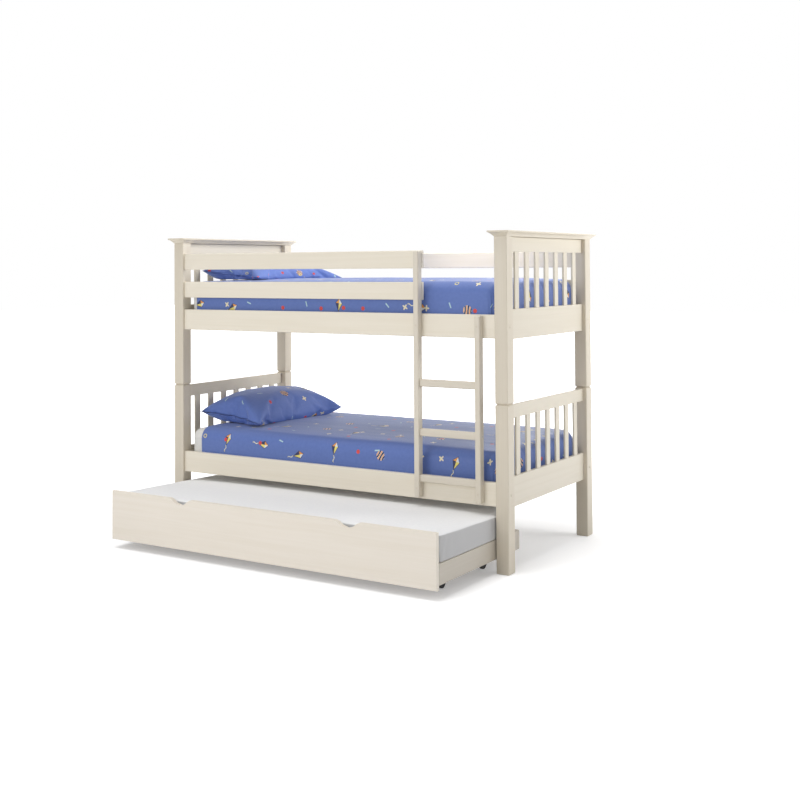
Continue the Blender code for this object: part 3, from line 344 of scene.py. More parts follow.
def bare_pine(name, slat_count=None, low=None, high=None):
    """Unfinished pine with rings along Y, or along X where it isn't a deck of slats."""
    material, tree, shader, place = new_finish(name)
    axis = "Y" if slat_count else "X"
    streaks, bands = grain_field(tree, place, axis)
    sockets = {"Vector": place, "Rotation": GRAIN_TURNS[axis], "Scale": RING_STRETCH}
    source = add(tree, "ShaderNodeMapping", sockets).outputs["Vector"]
    parts = add(tree, "ShaderNodeSeparateXYZ", {"Vector": place}).outputs
    if slat_count:
        pitch = (high.x - low.x - 2 * DECK_END_MARGIN - DECK_SLAT_WIDTH) / (slat_count - 1)
        start = low.x + DECK_END_MARGIN + DECK_SLAT_WIDTH / 2 - pitch / 2
        count = reckon(tree, "DIVIDE", reckon(tree, "SUBTRACT", parts["X"], start), pitch)
        index = reckon(tree, "FLOOR", count)
        chance = add(tree, "ShaderNodeTexWhiteNoise", {"W": index}, noise_dimensions="1D").outputs
        source = reckon_places(tree, "ADD", source, chance["Color"])
    sockets = {"Vector": source, **RING_FORM}
    rings = add(tree, "ShaderNodeTexWave", sockets, wave_type="RINGS", rings_direction="Z")
    ringed = blend_colour(tree, spread(tree, rings.outputs["Fac"], 0.0, 0.75), PINE_LIGHT, PINE_DARK)
    toned = blend_colour(tree, spread(tree, bands, 0, 0.5, 0.35, 0.7), ringed, PINE_LIGHT)
    if slat_count:
        toned = blend_colour(tree, spread(tree, chance["Value"], 0, 0.4), toned, PINE_LIGHT)
        below = reckon(tree, "LESS_THAN", parts["Z"], low.z + STRAP_THICKNESS)
        toned = blend_colour(tree, below, toned, WEBBING)
    surface = {
        "Base Color": toned,
        "Roughness": spread(tree, streaks, *BARE_ROUGHNESS),
        "Normal": relief(tree, 0.4, 0.0005, streaks),
    }
    feed(tree, shader, surface)
    return material


for deck, slat_count in (("lower_slat_deck", 14), ("upper_slat_deck", 14), ("trundle_slat_deck", 12)):
    dress([deck], bare_pine(f"{deck}_pine", slat_count, *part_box(deck)))
dress(named("trundle_bearer_"), bare_pine("bearer_pine"))

# Trundle: a front board with two finger cut-outs, side rails and a back rail, lacquered like the bed. The
# rails behind the board carry painted shade: their ivory is a tone darker than the board's, to stand for
# the shade that falls on them.
TRUNDLE_IVORY = (0.80, 0.742, 0.658)
TRUNDLE_RAIL_SHADED_IVORY = (0.56, 0.515, 0.445)

dress(["trundle_front_panel"], lacquer("trundle_panel_lacquer", TRUNDLE_IVORY, "X"))
dress(named("trundle_side_rail_"), lacquer("trundle_side_shaded_lacquer", TRUNDLE_RAIL_SHADED_IVORY, "Y"))
dress(["trundle_back_rail"], lacquer("trundle_back_shaded_lacquer", TRUNDLE_RAIL_SHADED_IVORY, "X"))

# Castors: black moulded housings with a riveted axle, and hard rubber wheels. Both are finely pebbled and
# a little dusty.
HOUSING_BLACK = (0.018, 0.018, 0.02)
WHEEL_BLACK = (0.03, 0.03, 0.031)
DUST_LIFT = 0.03


def moulded(name, colour, roughness, pebble):
    """Moulded black plastic or rubber, its surface finely pebbled and a little dusty."""
    material, tree, shader, place = new_finish(name)
    grain = cloudy(tree, place, pebble, 2.0)
    dust = cloudy(tree, place, 40.0, 5.0)
    dusty = tuple(channel + DUST_LIFT for channel in colour)
    surface = {
        "Base Color": blend_colour(tree, spread(tree, dust, 0, 0.6, 0.5, 0.8), colour, dusty),
        "Roughness": spread(tree, dust, roughness - 0.06, roughness + 0.1),
        "Normal": relief(tree, 0.3, 0.0002, grain),
    }
    feed(tree, shader, surface)
    return material


dress(named("castor_housing_"), moulded("housing_plastic", HOUSING_BLACK, roughness=0.4, pebble=1500.0))
dress(named("castor_wheel_"), moulded("wheel_rubber", WHEEL_BLACK, roughness=0.65, pebble=2500.0))

# Mattresses: sprung pads in white ticking, with a rolled tape edge sewn round the top and the bottom. The
# bunks' two show only at their left ends and from below.
TICKING_WHITE = (0.79, 0.775, 0.74)
TICKING_SLUB = (0.72, 0.72, 0.71)
MATTRESS_CORNERS = (0.030, 0.062, 0.030, 0.062)
MATTRESS_EDGE = 0.050
MATTRESS_SETTLE = 0.004
MATTRESS_CROWN = 0.010
TAPE_RADIUS = 0.0035
TAPE_CORNER_STEPS = 8
PAD_CELLS = (60, 30, 10)
EDGE_CROWDING = 0.5
THREAD_PITCH = 0.0011
WOVEN_ROUGHNESS = 0.85
SHEEN_ROUGHNESS = 0.45


def times(tree, first, second):
    """One value multiplied by another."""
    return reckon(tree, "MULTIPLY", first, second)


def woven(name, colour, sheen, slub_tint):
    """Plain woven cotton: threads in relief on the cloth's own map, slubs, and a soft sheen."""
    material, tree, shader = new_finish(name)[:3]
    cloth = add(tree, "ShaderNodeUVMap", uv_map="cloth").outputs["UV"]
    slubs = cloudy(tree, cloth, 60.0, 6.0)
    tone = blend_colour(tree, spread(tree, slubs, 0, 1, 0.3, 0.7), slub_tint, colour)
    axes = add(tree, "ShaderNodeSeparateXYZ", {"Vector": cloth}).outputs
    waves = [reckon(tree, "SINE", times(tree, axes[axis], math.tau / THREAD_PITCH)) for axis in "XY"]
    threads = relief(tree, 0.35, 0.0001, times(tree, *waves))
    surface = {
        "Base Color": tone,
        "Roughness": WOVEN_ROUGHNESS,
        "Sheen Weight": sheen,
        "Sheen Roughness": SHEEN_ROUGHNESS,
        "Normal": relief(tree, 0.3, 0.0008, slubs, threads),
    }
    feed(tree, shader, surface)
    return material, tree, shader, tone, cloth


def soft_block(low, high, corners, top_edge, low_edge):
    """A closed pad from a box cut into cells, with rounded edges.

    Its upright corners have a radius each: front left, front right, back left and back right.
    """
    bm = bmesh.new()
    bmesh.ops.create_cube(bm, size=2.0)
    for axis, count in enumerate(PAD_CELLS):
        runs = [side for side in bm.edges if abs(side.verts[0].co[axis] - side.verts[1].co[axis]) > 1]
        bmesh.ops.subdivide_edges(bm, edges=runs, cuts=count - 1, use_grid_fill=True)
    middle = (low + high) / 2
    half = (high - low) / 2
    for vertex in bm.verts:
        share = [
            math.sin(math.pi / 2 * value) * EDGE_CROWDING + value * (1 - EDGE_CROWDING)
            for value in vertex.co
        ]
        point = Vector([value * reach for value, reach in zip(share, half)])
        plan = point.xy
        corner = corners[int(plan.x > 0) + 2 * int(plan.y > 0)]
        limits = [reach - corner for reach in half.xy]
        core = Vector([max(-limit, min(limit, value)) for limit, value in zip(limits, plan)])
        aside = plan - core
        if aside.length > 0:
            aside = aside.normalized() * max(abs(aside.x), abs(aside.y))
            plan = core + aside
            reach_in = corner - aside.length
            pull = aside.normalized()
        elif half.x - abs(plan.x) < half.y - abs(plan.y):
            reach_in = half.x - abs(plan.x)
            pull = Vector((math.copysign(1, plan.x), 0))
        else:
            reach_in = half.y - abs(plan.y)
            pull = Vector((0, math.copysign(1, plan.y)))
        edge = top_edge if point.z > 0 else low_edge
        rise_in = half.z - abs(point.z)
        if reach_in < edge and rise_in < edge:
            offset = Vector((edge - reach_in, edge - rise_in))
            rounded = offset.normalized() * max(offset)
            plan += pull * (rounded.x - offset.x)
            point.z -= math.copysign(offset.y - rounded.y, point.z)
        vertex.co = (plan.x + middle.x, plan.y + middle.y, point.z + middle.z)
    return bm


def lay_cloth_map(bm, drop):
    """A flat map of the cloth in metres: each point by its plan, and down the sides by its drop."""
    layer = bm.loops.layers.uv.new("cloth")
    for face in bm.faces:
        normal = face.normal
        for loop in face.loops:
            point = loop.vert.co
            if abs(normal.z) > max(abs(normal.x), abs(normal.y)):
                loop[layer].uv = (point.x, point.y)
            elif abs(normal.x) > abs(normal.y):
                loop[layer].uv = (point.y, drop + point.z)
            else:
                loop[layer].uv = (point.x, drop + point.z)


def finish_soft(name, bm, material, body, replaced, levels=1):
    """Makes the working mesh a smooth piece in the place of a plain solid."""
    mesh = mesh_from(bm, name)
    mesh.shade_smooth()
    mesh.materials.append(material)
    piece = new_object(name, mesh)
    if levels:
        smoother = piece.modifiers.new("soften", "SUBSURF")
        smoother.levels = levels
        smoother.render_levels = levels
    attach(piece, body)
    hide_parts(replaced)
    return piece


def tape_edge(name, low, high, material):
    """Two rolled tapes sewn round a mattress, at its upper and its lower edge."""
    curve = bpy.data.curves.new(name, "CURVE")
    curve.dimensions = "3D"
    curve.bevel_depth = TAPE_RADIUS
    curve.bevel_resolution = 2
    for height in (low.z + MATTRESS_EDGE, high.z - MATTRESS_CROWN - MATTRESS_SETTLE - MATTRESS_EDGE):
        points = []
        for quarter, (side, rise) in enumerate(((1, 1), (-1, 1), (-1, -1), (1, -1))):
            corner = MATTRESS_CORNERS[1] if side > 0 else MATTRESS_CORNERS[0]
            radius = corner - TAPE_RADIUS / 2
            centre_x = (low.x + high.x) / 2 + side * ((high.x - low.x) / 2 - corner)
            centre_y = (low.y + high.y) / 2 + rise * ((high.y - low.y) / 2 - corner)
            for step in range(TAPE_CORNER_STEPS + 1):
                turn = (quarter + step / TAPE_CORNER_STEPS) * math.pi / 2
                x = centre_x + radius * math.cos(turn)
                y = centre_y + radius * math.sin(turn)
                points.append((x, y, height, 1))
        spline = curve.splines.new("POLY")
        spline.points.add(len(points) - 1)
        for point, place in zip(spline.points, points):
            point.co = place
        spline.use_cyclic_u = True
    curve.materials.append(material)
    piece = new_object(name, curve)
    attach(piece, "bedstead")


def crown_lift(share_x, share_y):
    """How far a mattress's top stands up, at these shares of its half length and its half width."""
    return MATTRESS_CROWN * (1 - min(1, abs(share_x)) ** 6) * (1 - min(1, abs(share_y)) ** 4)


ticking = woven("mattress_ticking", TICKING_WHITE, sheen=0.2, slub_tint=TICKING_SLUB)[0]
for level in LEVELS:
    low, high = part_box(f"{level}_mattress")
    flat_top = high.z - MATTRESS_CROWN - MATTRESS_SETTLE
    flat_high = Vector((high.x, high.y, flat_top))
    bm = soft_block(low, flat_high, MATTRESS_CORNERS, MATTRESS_EDGE, MATTRESS_EDGE)
    for vertex in bm.verts:
        point = vertex.co
        share_x = 2 * (point.x - low.x) / (high.x - low.x) - 1
        share_y = 2 * (point.y - low.y) / (high.y - low.y) - 1
        point.z += crown_lift(share_x, share_y) * max(0, (point.z - low.z) / (flat_top - low.z)) ** 4
    lay_cloth_map(bm, low.z)
    name = f"{level}_ticking_mattress"
    mattress = finish_soft(name, bm, ticking, "bedstead", f"{level}_mattress", levels=0)
    tape_edge(f"{level}_mattress_tape", low, high, ticking)

# Trundle mattress: a thinner pad under a white fitted sheet, whose elastic gathers it at the corners. It
# is pressed down towards the back, where it slides in under the lower bunk. The sheet's upright sides
# have
# painted shade: they are coloured grey, darker than its top.
SHEET_WHITE = (0.87, 0.875, 0.88)
SHEET_SLUB = (0.83, 0.835, 0.85)
SIDE_SHADE_GREY = (0.53, 0.53, 0.535)
TRUNDLE_PAD_CORNERS = (0.030, 0.022, 0.030, 0.070)
TRUNDLE_PAD_EDGE = 0.013
TRUNDLE_PAD_LOW_EDGE = 0.004
TRUNDLE_FALL_SHARE = 0.17
RIPPLE_DEPTH = 0.0012
GATHER_REACH = 0.16
GATHER_DEPTH = 0.013
GATHER_PITCH = 0.030
GATHER_WANDER = 0.02

low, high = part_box("trundle_mattress")
flat_top = high.z - MATTRESS_CROWN
flat_high = Vector((high.x, high.y, flat_top))
bm = soft_block(low, flat_high, TRUNDLE_PAD_CORNERS, TRUNDLE_PAD_EDGE, TRUNDLE_PAD_LOW_EDGE)
for vertex in bm.verts:
    point = vertex.co
    share_x = 2 * (point.x - low.x) / (high.x - low.x) - 1
    share_y = 2 * (point.y - low.y) / (high.y - low.y) - 1
    rise_share = (point.z - low.z) / (flat_top - low.z)
    ripple = RIPPLE_DEPTH * noise.noise(Vector((point.x * 2.5, point.y * 9, 0.3)))
    point.z += (crown_lift(share_x, share_y) + ripple) * rise_share**4
    fall = 1 - TRUNDLE_FALL_SHARE * (share_y + 1) / 2 * rise_share
    point.z = low.z + (point.z - low.z) * fall
    to_end = min(high.x - point.x, point.x - low.x)
    to_side = min(high.y - point.y, point.y - low.y)
    to_corner = math.hypot(to_end, to_side)
    if to_corner < GATHER_REACH and 0 < rise_share < 1:
        around = (point.x + point.y) + GATHER_WANDER * noise.noise(point * 12)
        fold = math.sin(math.tau * around / GATHER_PITCH) * GATHER_DEPTH / 2
        slack = (1 - to_corner / GATHER_REACH) * math.sin(math.pi * rise_share) ** 0.5
        if abs(share_x) > abs(share_y):
            point.x -= math.copysign(GATHER_DEPTH / 2 - fold, share_x) * slack
        else:
            point.y -= math.copysign(GATHER_DEPTH / 2 - fold, share_y) * slack
lay_cloth_map(bm, low.z)
fitted_sheet, tree, shader, tone = woven("fitted_sheet_cotton", SHEET_WHITE, 0.15, SHEET_SLUB)[:4]
# Painted shade: upright faces take the grey, and faces turned up or down keep the sheet's white.
normal = add(tree, "ShaderNodeNewGeometry").outputs["Normal"]
facing = add(tree, "ShaderNodeSeparateXYZ", {"Vector": normal}).outputs["Z"]
upward = spread(tree, reckon(tree, "ABSOLUTE", facing), 0, 1, 0.35, 0.8)
feed(tree, shader, {"Base Color": blend_colour(tree, upward, SIDE_SHADE_GREY, tone)})
name = "trundle_sheeted_mattress"
trundle_pad = finish_soft(name, bm, fitted_sheet, "trundle", "trundle_mattress")

# Covers: printed blue cotton over each bunk's mattress, open at the left end, its sides tucked in behind
# the side rails and its right corners sewn and gathered, like a fitted cover.
COTTON_BLUE = (0.098, 0.165, 0.445)
COTTON_DEEP = (0.088, 0.150, 0.415)
COTTON_SHEEN_TINT = (0.8, 0.84, 1.0, 1)
PRINT_RED = (0.62, 0.05, 0.04)
PRINT_ORANGE = (0.80, 0.34, 0.05)
PRINT_YELLOW = (0.80, 0.68, 0.16)
PRINT_CREAM = (0.78, 0.70, 0.48)
PRINT_NAVY = (0.012, 0.018, 0.075)
PRINT_WHITE = (0.72, 0.74, 0.78)
PRINT_MINT = (0.42, 0.60, 0.62)
PRINT_SHIFTS = {"lower": (0.13, 0.37), "upper": (1.71, 0.92)}
MIDDLE_RANGE = (0.34, 0.66)
KITE_SQUARE = 0.235
KITE_CHANCES = (0.0, 0.42)
KITE_HEAD = 0.026
KITE_FOOT = 0.045
KITE_HALF_WIDTH = 0.021
OUTLINE_RANGE = (0.86, 1.0)
RIBBON_END = 0.082
RIBBON_HALF_WIDTH = 0.0022
RIBBON_SWAY = 0.003
SWAY_RATE = 190.0
BOW_RATE = 420.0
BALL_CHANCES = (0.42, 0.66)
BALL_RADIUS = 0.024
BALL_ROUNDNESS = 900.0
STRIPE_RATE = 420.0
CONFETTI_SQUARE = 0.125
DOT_RADIUS = 0.0105
PETAL_REACHES = (0.006, 0.016)
RING_RADII = (0.0075, 0.0115)
BAR_HALF_WIDTH = 0.0032
BAR_HALF_LENGTH = 0.014


def cells(tree, cloth, size, shift):
    """Cuts the cloth into squares: where a point lies from its square's middle, and the chances."""
    moved = reckon_places(tree, "ADD", cloth, shift)
    scaled = reckon_places(tree, "MULTIPLY", moved, (1 / size,) * 3)
    cell = reckon_places(tree, "FLOOR", scaled)
    chance = add(tree, "ShaderNodeTexWhiteNoise", {"Vector": cell}, noise_dimensions="3D").outputs
    low, high = MIDDLE_RANGE
    sockets = {"Vector": chance["Color"], 9: (low,) * 3, 10: (high,) * 3}
    jitter = add(tree, "ShaderNodeMapRange", sockets, data_type="FLOAT_VECTOR").outputs["Vector"]
    from_middle = reckon_places(tree, "SUBTRACT", reckon_places(tree, "SUBTRACT", scaled, cell), jitter)
    sockets = {"Vector": from_middle, "Angle": spread(tree, chance["Value"], 0, math.tau)}
    turned = add(tree, "ShaderNodeVectorRotate", sockets, rotation_type="Z_AXIS").outputs["Vector"]
    metres = reckon_places(tree, "MULTIPLY", turned, (size, size, 0))
    parts = add(tree, "ShaderNodeSeparateXYZ", {"Vector": metres}).outputs
    chances = add(tree, "ShaderNodeSeparateColor", {"Color": chance["Color"]}).outputs
    return parts["X"], parts["Y"], chances


def over(tree, value, limit):
    """1 where a value is over a limit."""
    return reckon(tree, "GREATER_THAN", value, limit)


def under(tree, value, limit):
    """1 where a value is under a limit."""
    return reckon(tree, "LESS_THAN", value, limit)


def between(tree, value, low, high):
    """1 where a value lies between two others."""
    return times(tree, over(tree, value, low), under(tree, value, high))


def distance(tree, x, y):
    """How far a point lies from the middle of its square."""
    squares = reckon(tree, "ADD", times(tree, x, x), times(tree, y, y))
    return reckon(tree, "POWER", squares, 0.5)


def kite_print(tree, colour, cloth, shift):
    """Scattered kites in four colours with a striped tail, and striped balls, each in its own square."""
    x, y, chance = cells(tree, cloth, KITE_SQUARE, (*shift, 0))
    is_head = over(tree, y, 0.0)
    per_metre = spread(tree, is_head, 1 / KITE_FOOT, 1 / KITE_HEAD)
    upright = times(tree, reckon(tree, "ABSOLUTE", y), per_metre)
    sideways = reckon(tree, "DIVIDE", reckon(tree, "ABSOLUTE", x), KITE_HALF_WIDTH)
    form = reckon(tree, "ADD", upright, sideways)
    is_kite = between(tree, chance["Red"], *KITE_CHANCES)
    kite = times(tree, under(tree, form, 1.0), is_kite)
    is_bright = over(tree, times(tree, x, y), 0.0)
    first = blend_colour(tree, is_head, PRINT_YELLOW, PRINT_ORANGE)
    second = blend_colour(tree, is_head, PRINT_NAVY, PRINT_WHITE)
    colour = blend_colour(tree, kite, colour, blend_colour(tree, is_bright, first, second))
    outline = times(tree, between(tree, form, *OUTLINE_RANGE), is_kite)
    colour = blend_colour(tree, outline, colour, PRINT_NAVY)

    sway = times(tree, reckon(tree, "SINE", times(tree, y, SWAY_RATE)), RIBBON_SWAY)
    beside = reckon(tree, "ABSOLUTE", reckon(tree, "SUBTRACT", x, sway))
    below = between(tree, y, -RIBBON_END, -KITE_FOOT)
    ribbon = times(tree, times(tree, under(tree, beside, RIBBON_HALF_WIDTH), below), is_kite)
    bows = over(tree, reckon(tree, "SINE", times(tree, y, BOW_RATE)), 0.0)
    colour = blend_colour(tree, ribbon, colour, blend_colour(tree, bows, PRINT_YELLOW, PRINT_WHITE))

    is_ball = between(tree, chance["Red"], *BALL_CHANCES)
    ball = times(tree, under(tree, distance(tree, x, y), BALL_RADIUS), is_ball)
    bulge = reckon(tree, "ADD", 1.0, times(tree, times(tree, y, y), BALL_ROUNDNESS))
    stripes = reckon(tree, "SINE", times(tree, reckon(tree, "DIVIDE", x, bulge), STRIPE_RATE))
    striped = blend_colour(tree, over(tree, stripes, 0.0), PRINT_NAVY, PRINT_WHITE)
    striped = blend_colour(tree, over(tree, stripes, 0.6), striped, PRINT_ORANGE)
    return blend_colour(tree, ball, colour, striped)


def confetti_print(tree, colour, cloth, shift):
    """Small dots, crosses, rings and bars, one at most to a square."""
    x, y, chance = cells(tree, cloth, CONFETTI_SQUARE, (shift[1] + 0.41, shift[0] + 0.77, 0))
    from_middle = distance(tree, x, y)
    four_turns = times(tree, reckon(tree, "ARCTAN2", y, x), 4.0)
    petal_reach = spread(tree, reckon(tree, "COSINE", four_turns), *PETAL_REACHES, -1, 1)
    across = under(tree, reckon(tree, "ABSOLUTE", x), BAR_HALF_WIDTH)
    along = under(tree, reckon(tree, "ABSOLUTE", y), BAR_HALF_LENGTH)
    kinds = (
        (0.0, 0.16, under(tree, from_middle, DOT_RADIUS), PRINT_RED),
        (0.16, 0.36, under(tree, from_middle, petal_reach), PRINT_CREAM),
        (0.36, 0.46, between(tree, from_middle, *RING_RADII), PRINT_YELLOW),
        (0.46, 0.66, times(tree, across, along), PRINT_MINT),
    )
    for low, high, shape, ink in kinds:
        chosen = times(tree, shape, between(tree, chance["Green"], low, high))
        colour = blend_colour(tree, chosen, colour, ink)
    return colour


def printed_cotton(name, shift, sheen, roughness, blue, deep):
    """Blue cotton with a scattered print that follows the cloth's own map."""
    material, tree, shader, tone, cloth = woven(name, blue, sheen, deep)
    colour = confetti_print(tree, kite_print(tree, tone, cloth, shift), cloth, shift)
    feed(tree, shader, {"Base Color": colour, "Roughness": roughness, "Sheen Tint": COTTON_SHEEN_TINT})
    return material


COVER_THICKNESS = 0.0012
COVER_FRONT_EDGE = 0.060
COVER_END_EDGE = 0.055
COVER_BACK_EDGE = 0.034
COVER_CORNER = 0.062
COVER_RISE = 0.005
COVER_STEP = 0.009
COVER_INSETS = {"lower": 0.075, "upper": 0.042}
COVER_SEEDS = {"lower": 3.7, "upper": 8.2}
HEM_RISE = 0.045
LUMP_HEIGHT = 0.003
LONG_FOLD_HEIGHT = 0.0012
CROSS_CREASES = (0.33, 0.92, 1.5)
CREASE_WIDTH = 0.004
CREASE_DEPTH = 0.0009
HELD_REACH = 0.03
SWELL_DEPTH = 0.0035
HANG_DEPTH = 0.0010
CORNER_FOLD_DEPTH = 0.0030
END_GATHER_DEPTH = 0.0016
END_PULL = 0.0014
FOLD_SHARE = 0.6


def crease(value, places):
    """The height of the soft creases that are pressed in at the given places."""
    return sum(-CREASE_DEPTH * math.exp(-(((value - place) / CREASE_WIDTH) ** 2)) for place in places)


def lay_cover(level):
    """A flat sheet mapped onto the mattress: over its top, round its edges and down its sides."""
    low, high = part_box(f"{level}_cover")
    mattress_low, mattress_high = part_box(f"{level}_mattress")
    half_y = (high.y - low.y) / 2 - COVER_THICKNESS / 2
    middle_y = (high.y + low.y) / 2
    start_x = mattress_low.x + COVER_INSETS[level]
    top_z = high.z - MATTRESS_CROWN - COVER_THICKNESS / 2
    hem_z = mattress_low.z + HEM_RISE
    skirt = COVER_CORNER + top_z - hem_z - (2 - math.pi / 2) * COVER_END_EDGE
    core_x = high.x - COVER_THICKNESS / 2 - COVER_CORNER
    core_y = half_y - COVER_CORNER
    flat_length = core_x - start_x + skirt
    flat_width = 2 * (core_y + skirt)
    bm = bmesh.new()
    bmesh.ops.create_grid(
        bm,
        x_segments=round(flat_length / COVER_STEP),
        y_segments=round(flat_width / COVER_STEP),
        size=0.5,
    )
    layer = bm.loops.layers.uv.new("cloth")
    flat_places = {}
    seed = COVER_SEEDS[level]
    for vertex in bm.verts:
        u = (vertex.co.x + 0.5) * flat_length
        v = vertex.co.y * flat_width
        flat_places[vertex.index] = (u, v)
        beyond_x = max(0, u - (core_x - start_x))
        beyond_y = max(0, abs(v) - core_y)
        beyond = max(beyond_x, beyond_y)
        side = math.copysign(1, v)
        turn = math.pi / 2 * beyond_y / (beyond_x + beyond_y) if beyond > 0 else 0
        out = Vector((math.cos(turn), side * math.sin(turn)))
        side_edge = COVER_BACK_EDGE if side > 0 else COVER_FRONT_EDGE
        edge = COVER_END_EDGE + (side_edge - COVER_END_EDGE) * math.sin(turn) ** 2
        flat_reach = COVER_CORNER - edge
        arc = edge * math.pi / 2
        beyond *= (flat_reach + arc + top_z - edge - hem_z) / skirt
        if beyond <= flat_reach:
            reach, drop, tilt = beyond, 0, 0
        elif beyond <= flat_reach + arc:
            angle = (beyond - flat_reach) / edge
            reach = flat_reach + edge * math.sin(angle)
            drop = edge * (1 - math.cos(angle))
            tilt = angle / (math.pi / 2)
        else:
            reach = COVER_CORNER
            drop = edge + beyond - flat_reach - arc
            tilt = 1
        plan_x = min(u, core_x - start_x) + start_x + out.x * reach
        plan_y = math.copysign(min(abs(v), core_y), v) + out.y * reach
        share_x = 2 * (plan_x - mattress_low.x) / (mattress_high.x - mattress_low.x) - 1
        share_y = plan_y / half_y
        crown = crown_lift(share_x, share_y)
        crown += COVER_RISE * (1 - min(1, abs(share_x)) ** 8) * min(1, max(0, 1 + share_y)) ** 2
        lumps = noise.noise(Vector((u * 3.1, v * 3.6, seed))) * LUMP_HEIGHT
        long_folds = noise.noise(Vector((u * 2.2 + v * 0.8, v * 17, seed + 5))) * LONG_FOLD_HEIGHT
        pressed = crease(u, CROSS_CREASES) + crease(v, (0.0,))
        height = top_z - drop + (crown + lumps + long_folds + pressed) * (1 - tilt) ** 0.5
        free = max(0, min(1, (top_z - drop - rail_tops[level]) / HELD_REACH)) if tilt > 0 else 0
        swell = 0.5 + 0.5 * noise.noise(Vector((u * 4.5, side * 2.0, seed + 9)))
        hang = noise.noise(Vector((u * 21, side * 3.0 + v * 1.5, seed + 2)))
        bow = math.sin(math.pi * min(1, drop / (top_z - hem_z)))
        corner_fold = 0
        if beyond_x > 0 and beyond_y > 0:
            ripple = math.sin(turn * 30 + 2.5 * noise.noise(Vector((u * 9, v * 9, seed))))
            corner_fold = CORNER_FOLD_DEPTH * math.sin(2 * turn) * ripple
        end_gather = 0
        if beyond_x > beyond_y:
            ripple = math.sin(v * 190 + 3 * noise.noise(Vector((v * 6, 0, seed))))
            end_gather = END_GATHER_DEPTH * ripple * math.cos(turn)
        outward = tilt * free * (SWELL_DEPTH * swell * bow + HANG_DEPTH * hang * bow)
        folds = (corner_fold + end_gather) * FOLD_SHARE
        outward += tilt * (folds - END_PULL * math.cos(turn) + free * pressed)
        vertex.co = (plan_x + out.x * outward, middle_y + plan_y + out.y * outward, height)
    for face in bm.faces:
        for loop in face.loops:
            loop[layer].uv = flat_places[loop.vert.index]
    bmesh.ops.recalc_face_normals(bm, faces=bm.faces[:])
    if sum(face.normal.z for face in bm.faces) < 0:
        bmesh.ops.reverse_faces(bm, faces=bm.faces[:])
    name = f"{level}_cover_cotton"
    cotton = printed_cotton(name, PRINT_SHIFTS[level], 0.3, 0.5, COTTON_BLUE, COTTON_DEEP)
    name = f"{level}_printed_cover"
    cover = finish_soft(name, bm, cotton, "bedstead", f"{level}_cover", levels=0)
    wall = cover.modifiers.new("thickness", "SOLIDIFY")
    wall.thickness = COVER_THICKNESS
    wall.offset = 0


rail_tops = {level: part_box(f"{level}_side_rail_front")[1].z for level in LEVELS}
for level in LEVELS:
    lay_cover(level)

# Pillows: two sheets of the same printed cotton sewn together and filled. Each is turned a little and
# propped by its left edge against the end panel. The case's open end, at the front, makes two lips.
PILLOW_FLAT_WIDTH = 0.480
PILLOW_FLAT_LENGTH = 0.715
PILLOW_STEP = 0.0125
PILLOW_TURN = math.radians(-6.0)
# Painted light: the pillows' blue is a lighter copy of the covers' blue, to stand for the extra light on
# them.
PILLOW_PAINTED_LIGHT_BLUE = (0.115, 0.190, 0.52)
PILLOW_PAINTED_LIGHT_DEEP = (0.103, 0.174, 0.487)
PILLOW_SEAMS = {"lower": ((0.057, 0.064), (0.022, 0.044)), "upper": ((0.050, 0.056), (0.012, 0.004))}
PILLOW_BULGES = {"lower": (0.130, 0.086), "upper": (0.080, 0.098)}
PILLOW_SETS = {"lower": -0.005, "upper": -0.030}
PILLOW_WIDTH = 0.466
PILLOW_LENGTH = 0.696
PILLOW_PUFF = 0.012
PILLOW_FRAMES = 26
CASE_CLOTH = {
    "quality": 6,
    "mass": 0.25,
    "tension_stiffness": 25,
    "compression_stiffness": 25,
    "shear_stiffness": 8,
    "bending_stiffness": 0.6,
    "use_pressure": True,
    "uniform_pressure_force": 4.0,
}
TOP_PRINT_SHIFT = 1.3
PUCKER_PITCH = 0.030
PUCKER_REACH = 0.045
PUCKER_DEPTH = 0.0022
SEAM_BAND = 0.008
REST_SOFTNESS = 0.004
REST_GAP = 0.0008
LIP_REACH = 0.016
LIP_SPREAD = 0.0045
MOUTH_DEPTH = 0.010


def sewn_case(seed):
    """Two equal flat sheets joined along their seam, slightly parted, with their cloth map."""
    bm = bmesh.new()
    bmesh.ops.create_grid(
        bm,
        x_segments=round(PILLOW_FLAT_WIDTH / PILLOW_STEP),
        y_segments=round(PILLOW_FLAT_LENGTH / PILLOW_STEP),
        size=0.5,
    )
    for vertex in bm.verts:
        vertex.co.x *= PILLOW_FLAT_WIDTH
        vertex.co.y *= PILLOW_FLAT_LENGTH
    copied = bmesh.ops.duplicate(bm, geom=bm.faces[:])
    under_faces = [item for item in copied["geom"] if isinstance(item, bmesh.types.BMFace)]
    bmesh.ops.reverse_faces(bm, faces=under_faces)
    under_faces = set(under_faces)
    under_points = {vert for face in under_faces for vert in face.verts}
    layer = bm.loops.layers.uv.new("cloth")
    for face in bm.faces:
        shift = 0 if face in under_faces else TOP_PRINT_SHIFT
        for loop in face.loops:
            loop[layer].uv = (loop.vert.co.x + shift + seed, loop.vert.co.y + seed)
    for vertex in bm.verts:
        share_x = 2 * vertex.co.x / PILLOW_FLAT_WIDTH
        share_y = 2 * vertex.co.y / PILLOW_FLAT_LENGTH
        puff = PILLOW_PUFF * max(0, (1 - share_x**2) * (1 - share_y**2)) ** 0.5
        puff *= 1 + 0.5 * noise.noise(Vector((vertex.co.x * 9, vertex.co.y * 9, seed)))
        vertex.co.z = -puff if vertex in under_points else puff
    bmesh.ops.remove_doubles(bm, verts=bm.verts[:], dist=PILLOW_STEP / 50)
    front = -PILLOW_FLAT_LENGTH / 2 + PILLOW_STEP / 4
    for edge in bm.edges:
        edge.seam = all(corner.co.y < front for corner in edge.verts)
    return bm


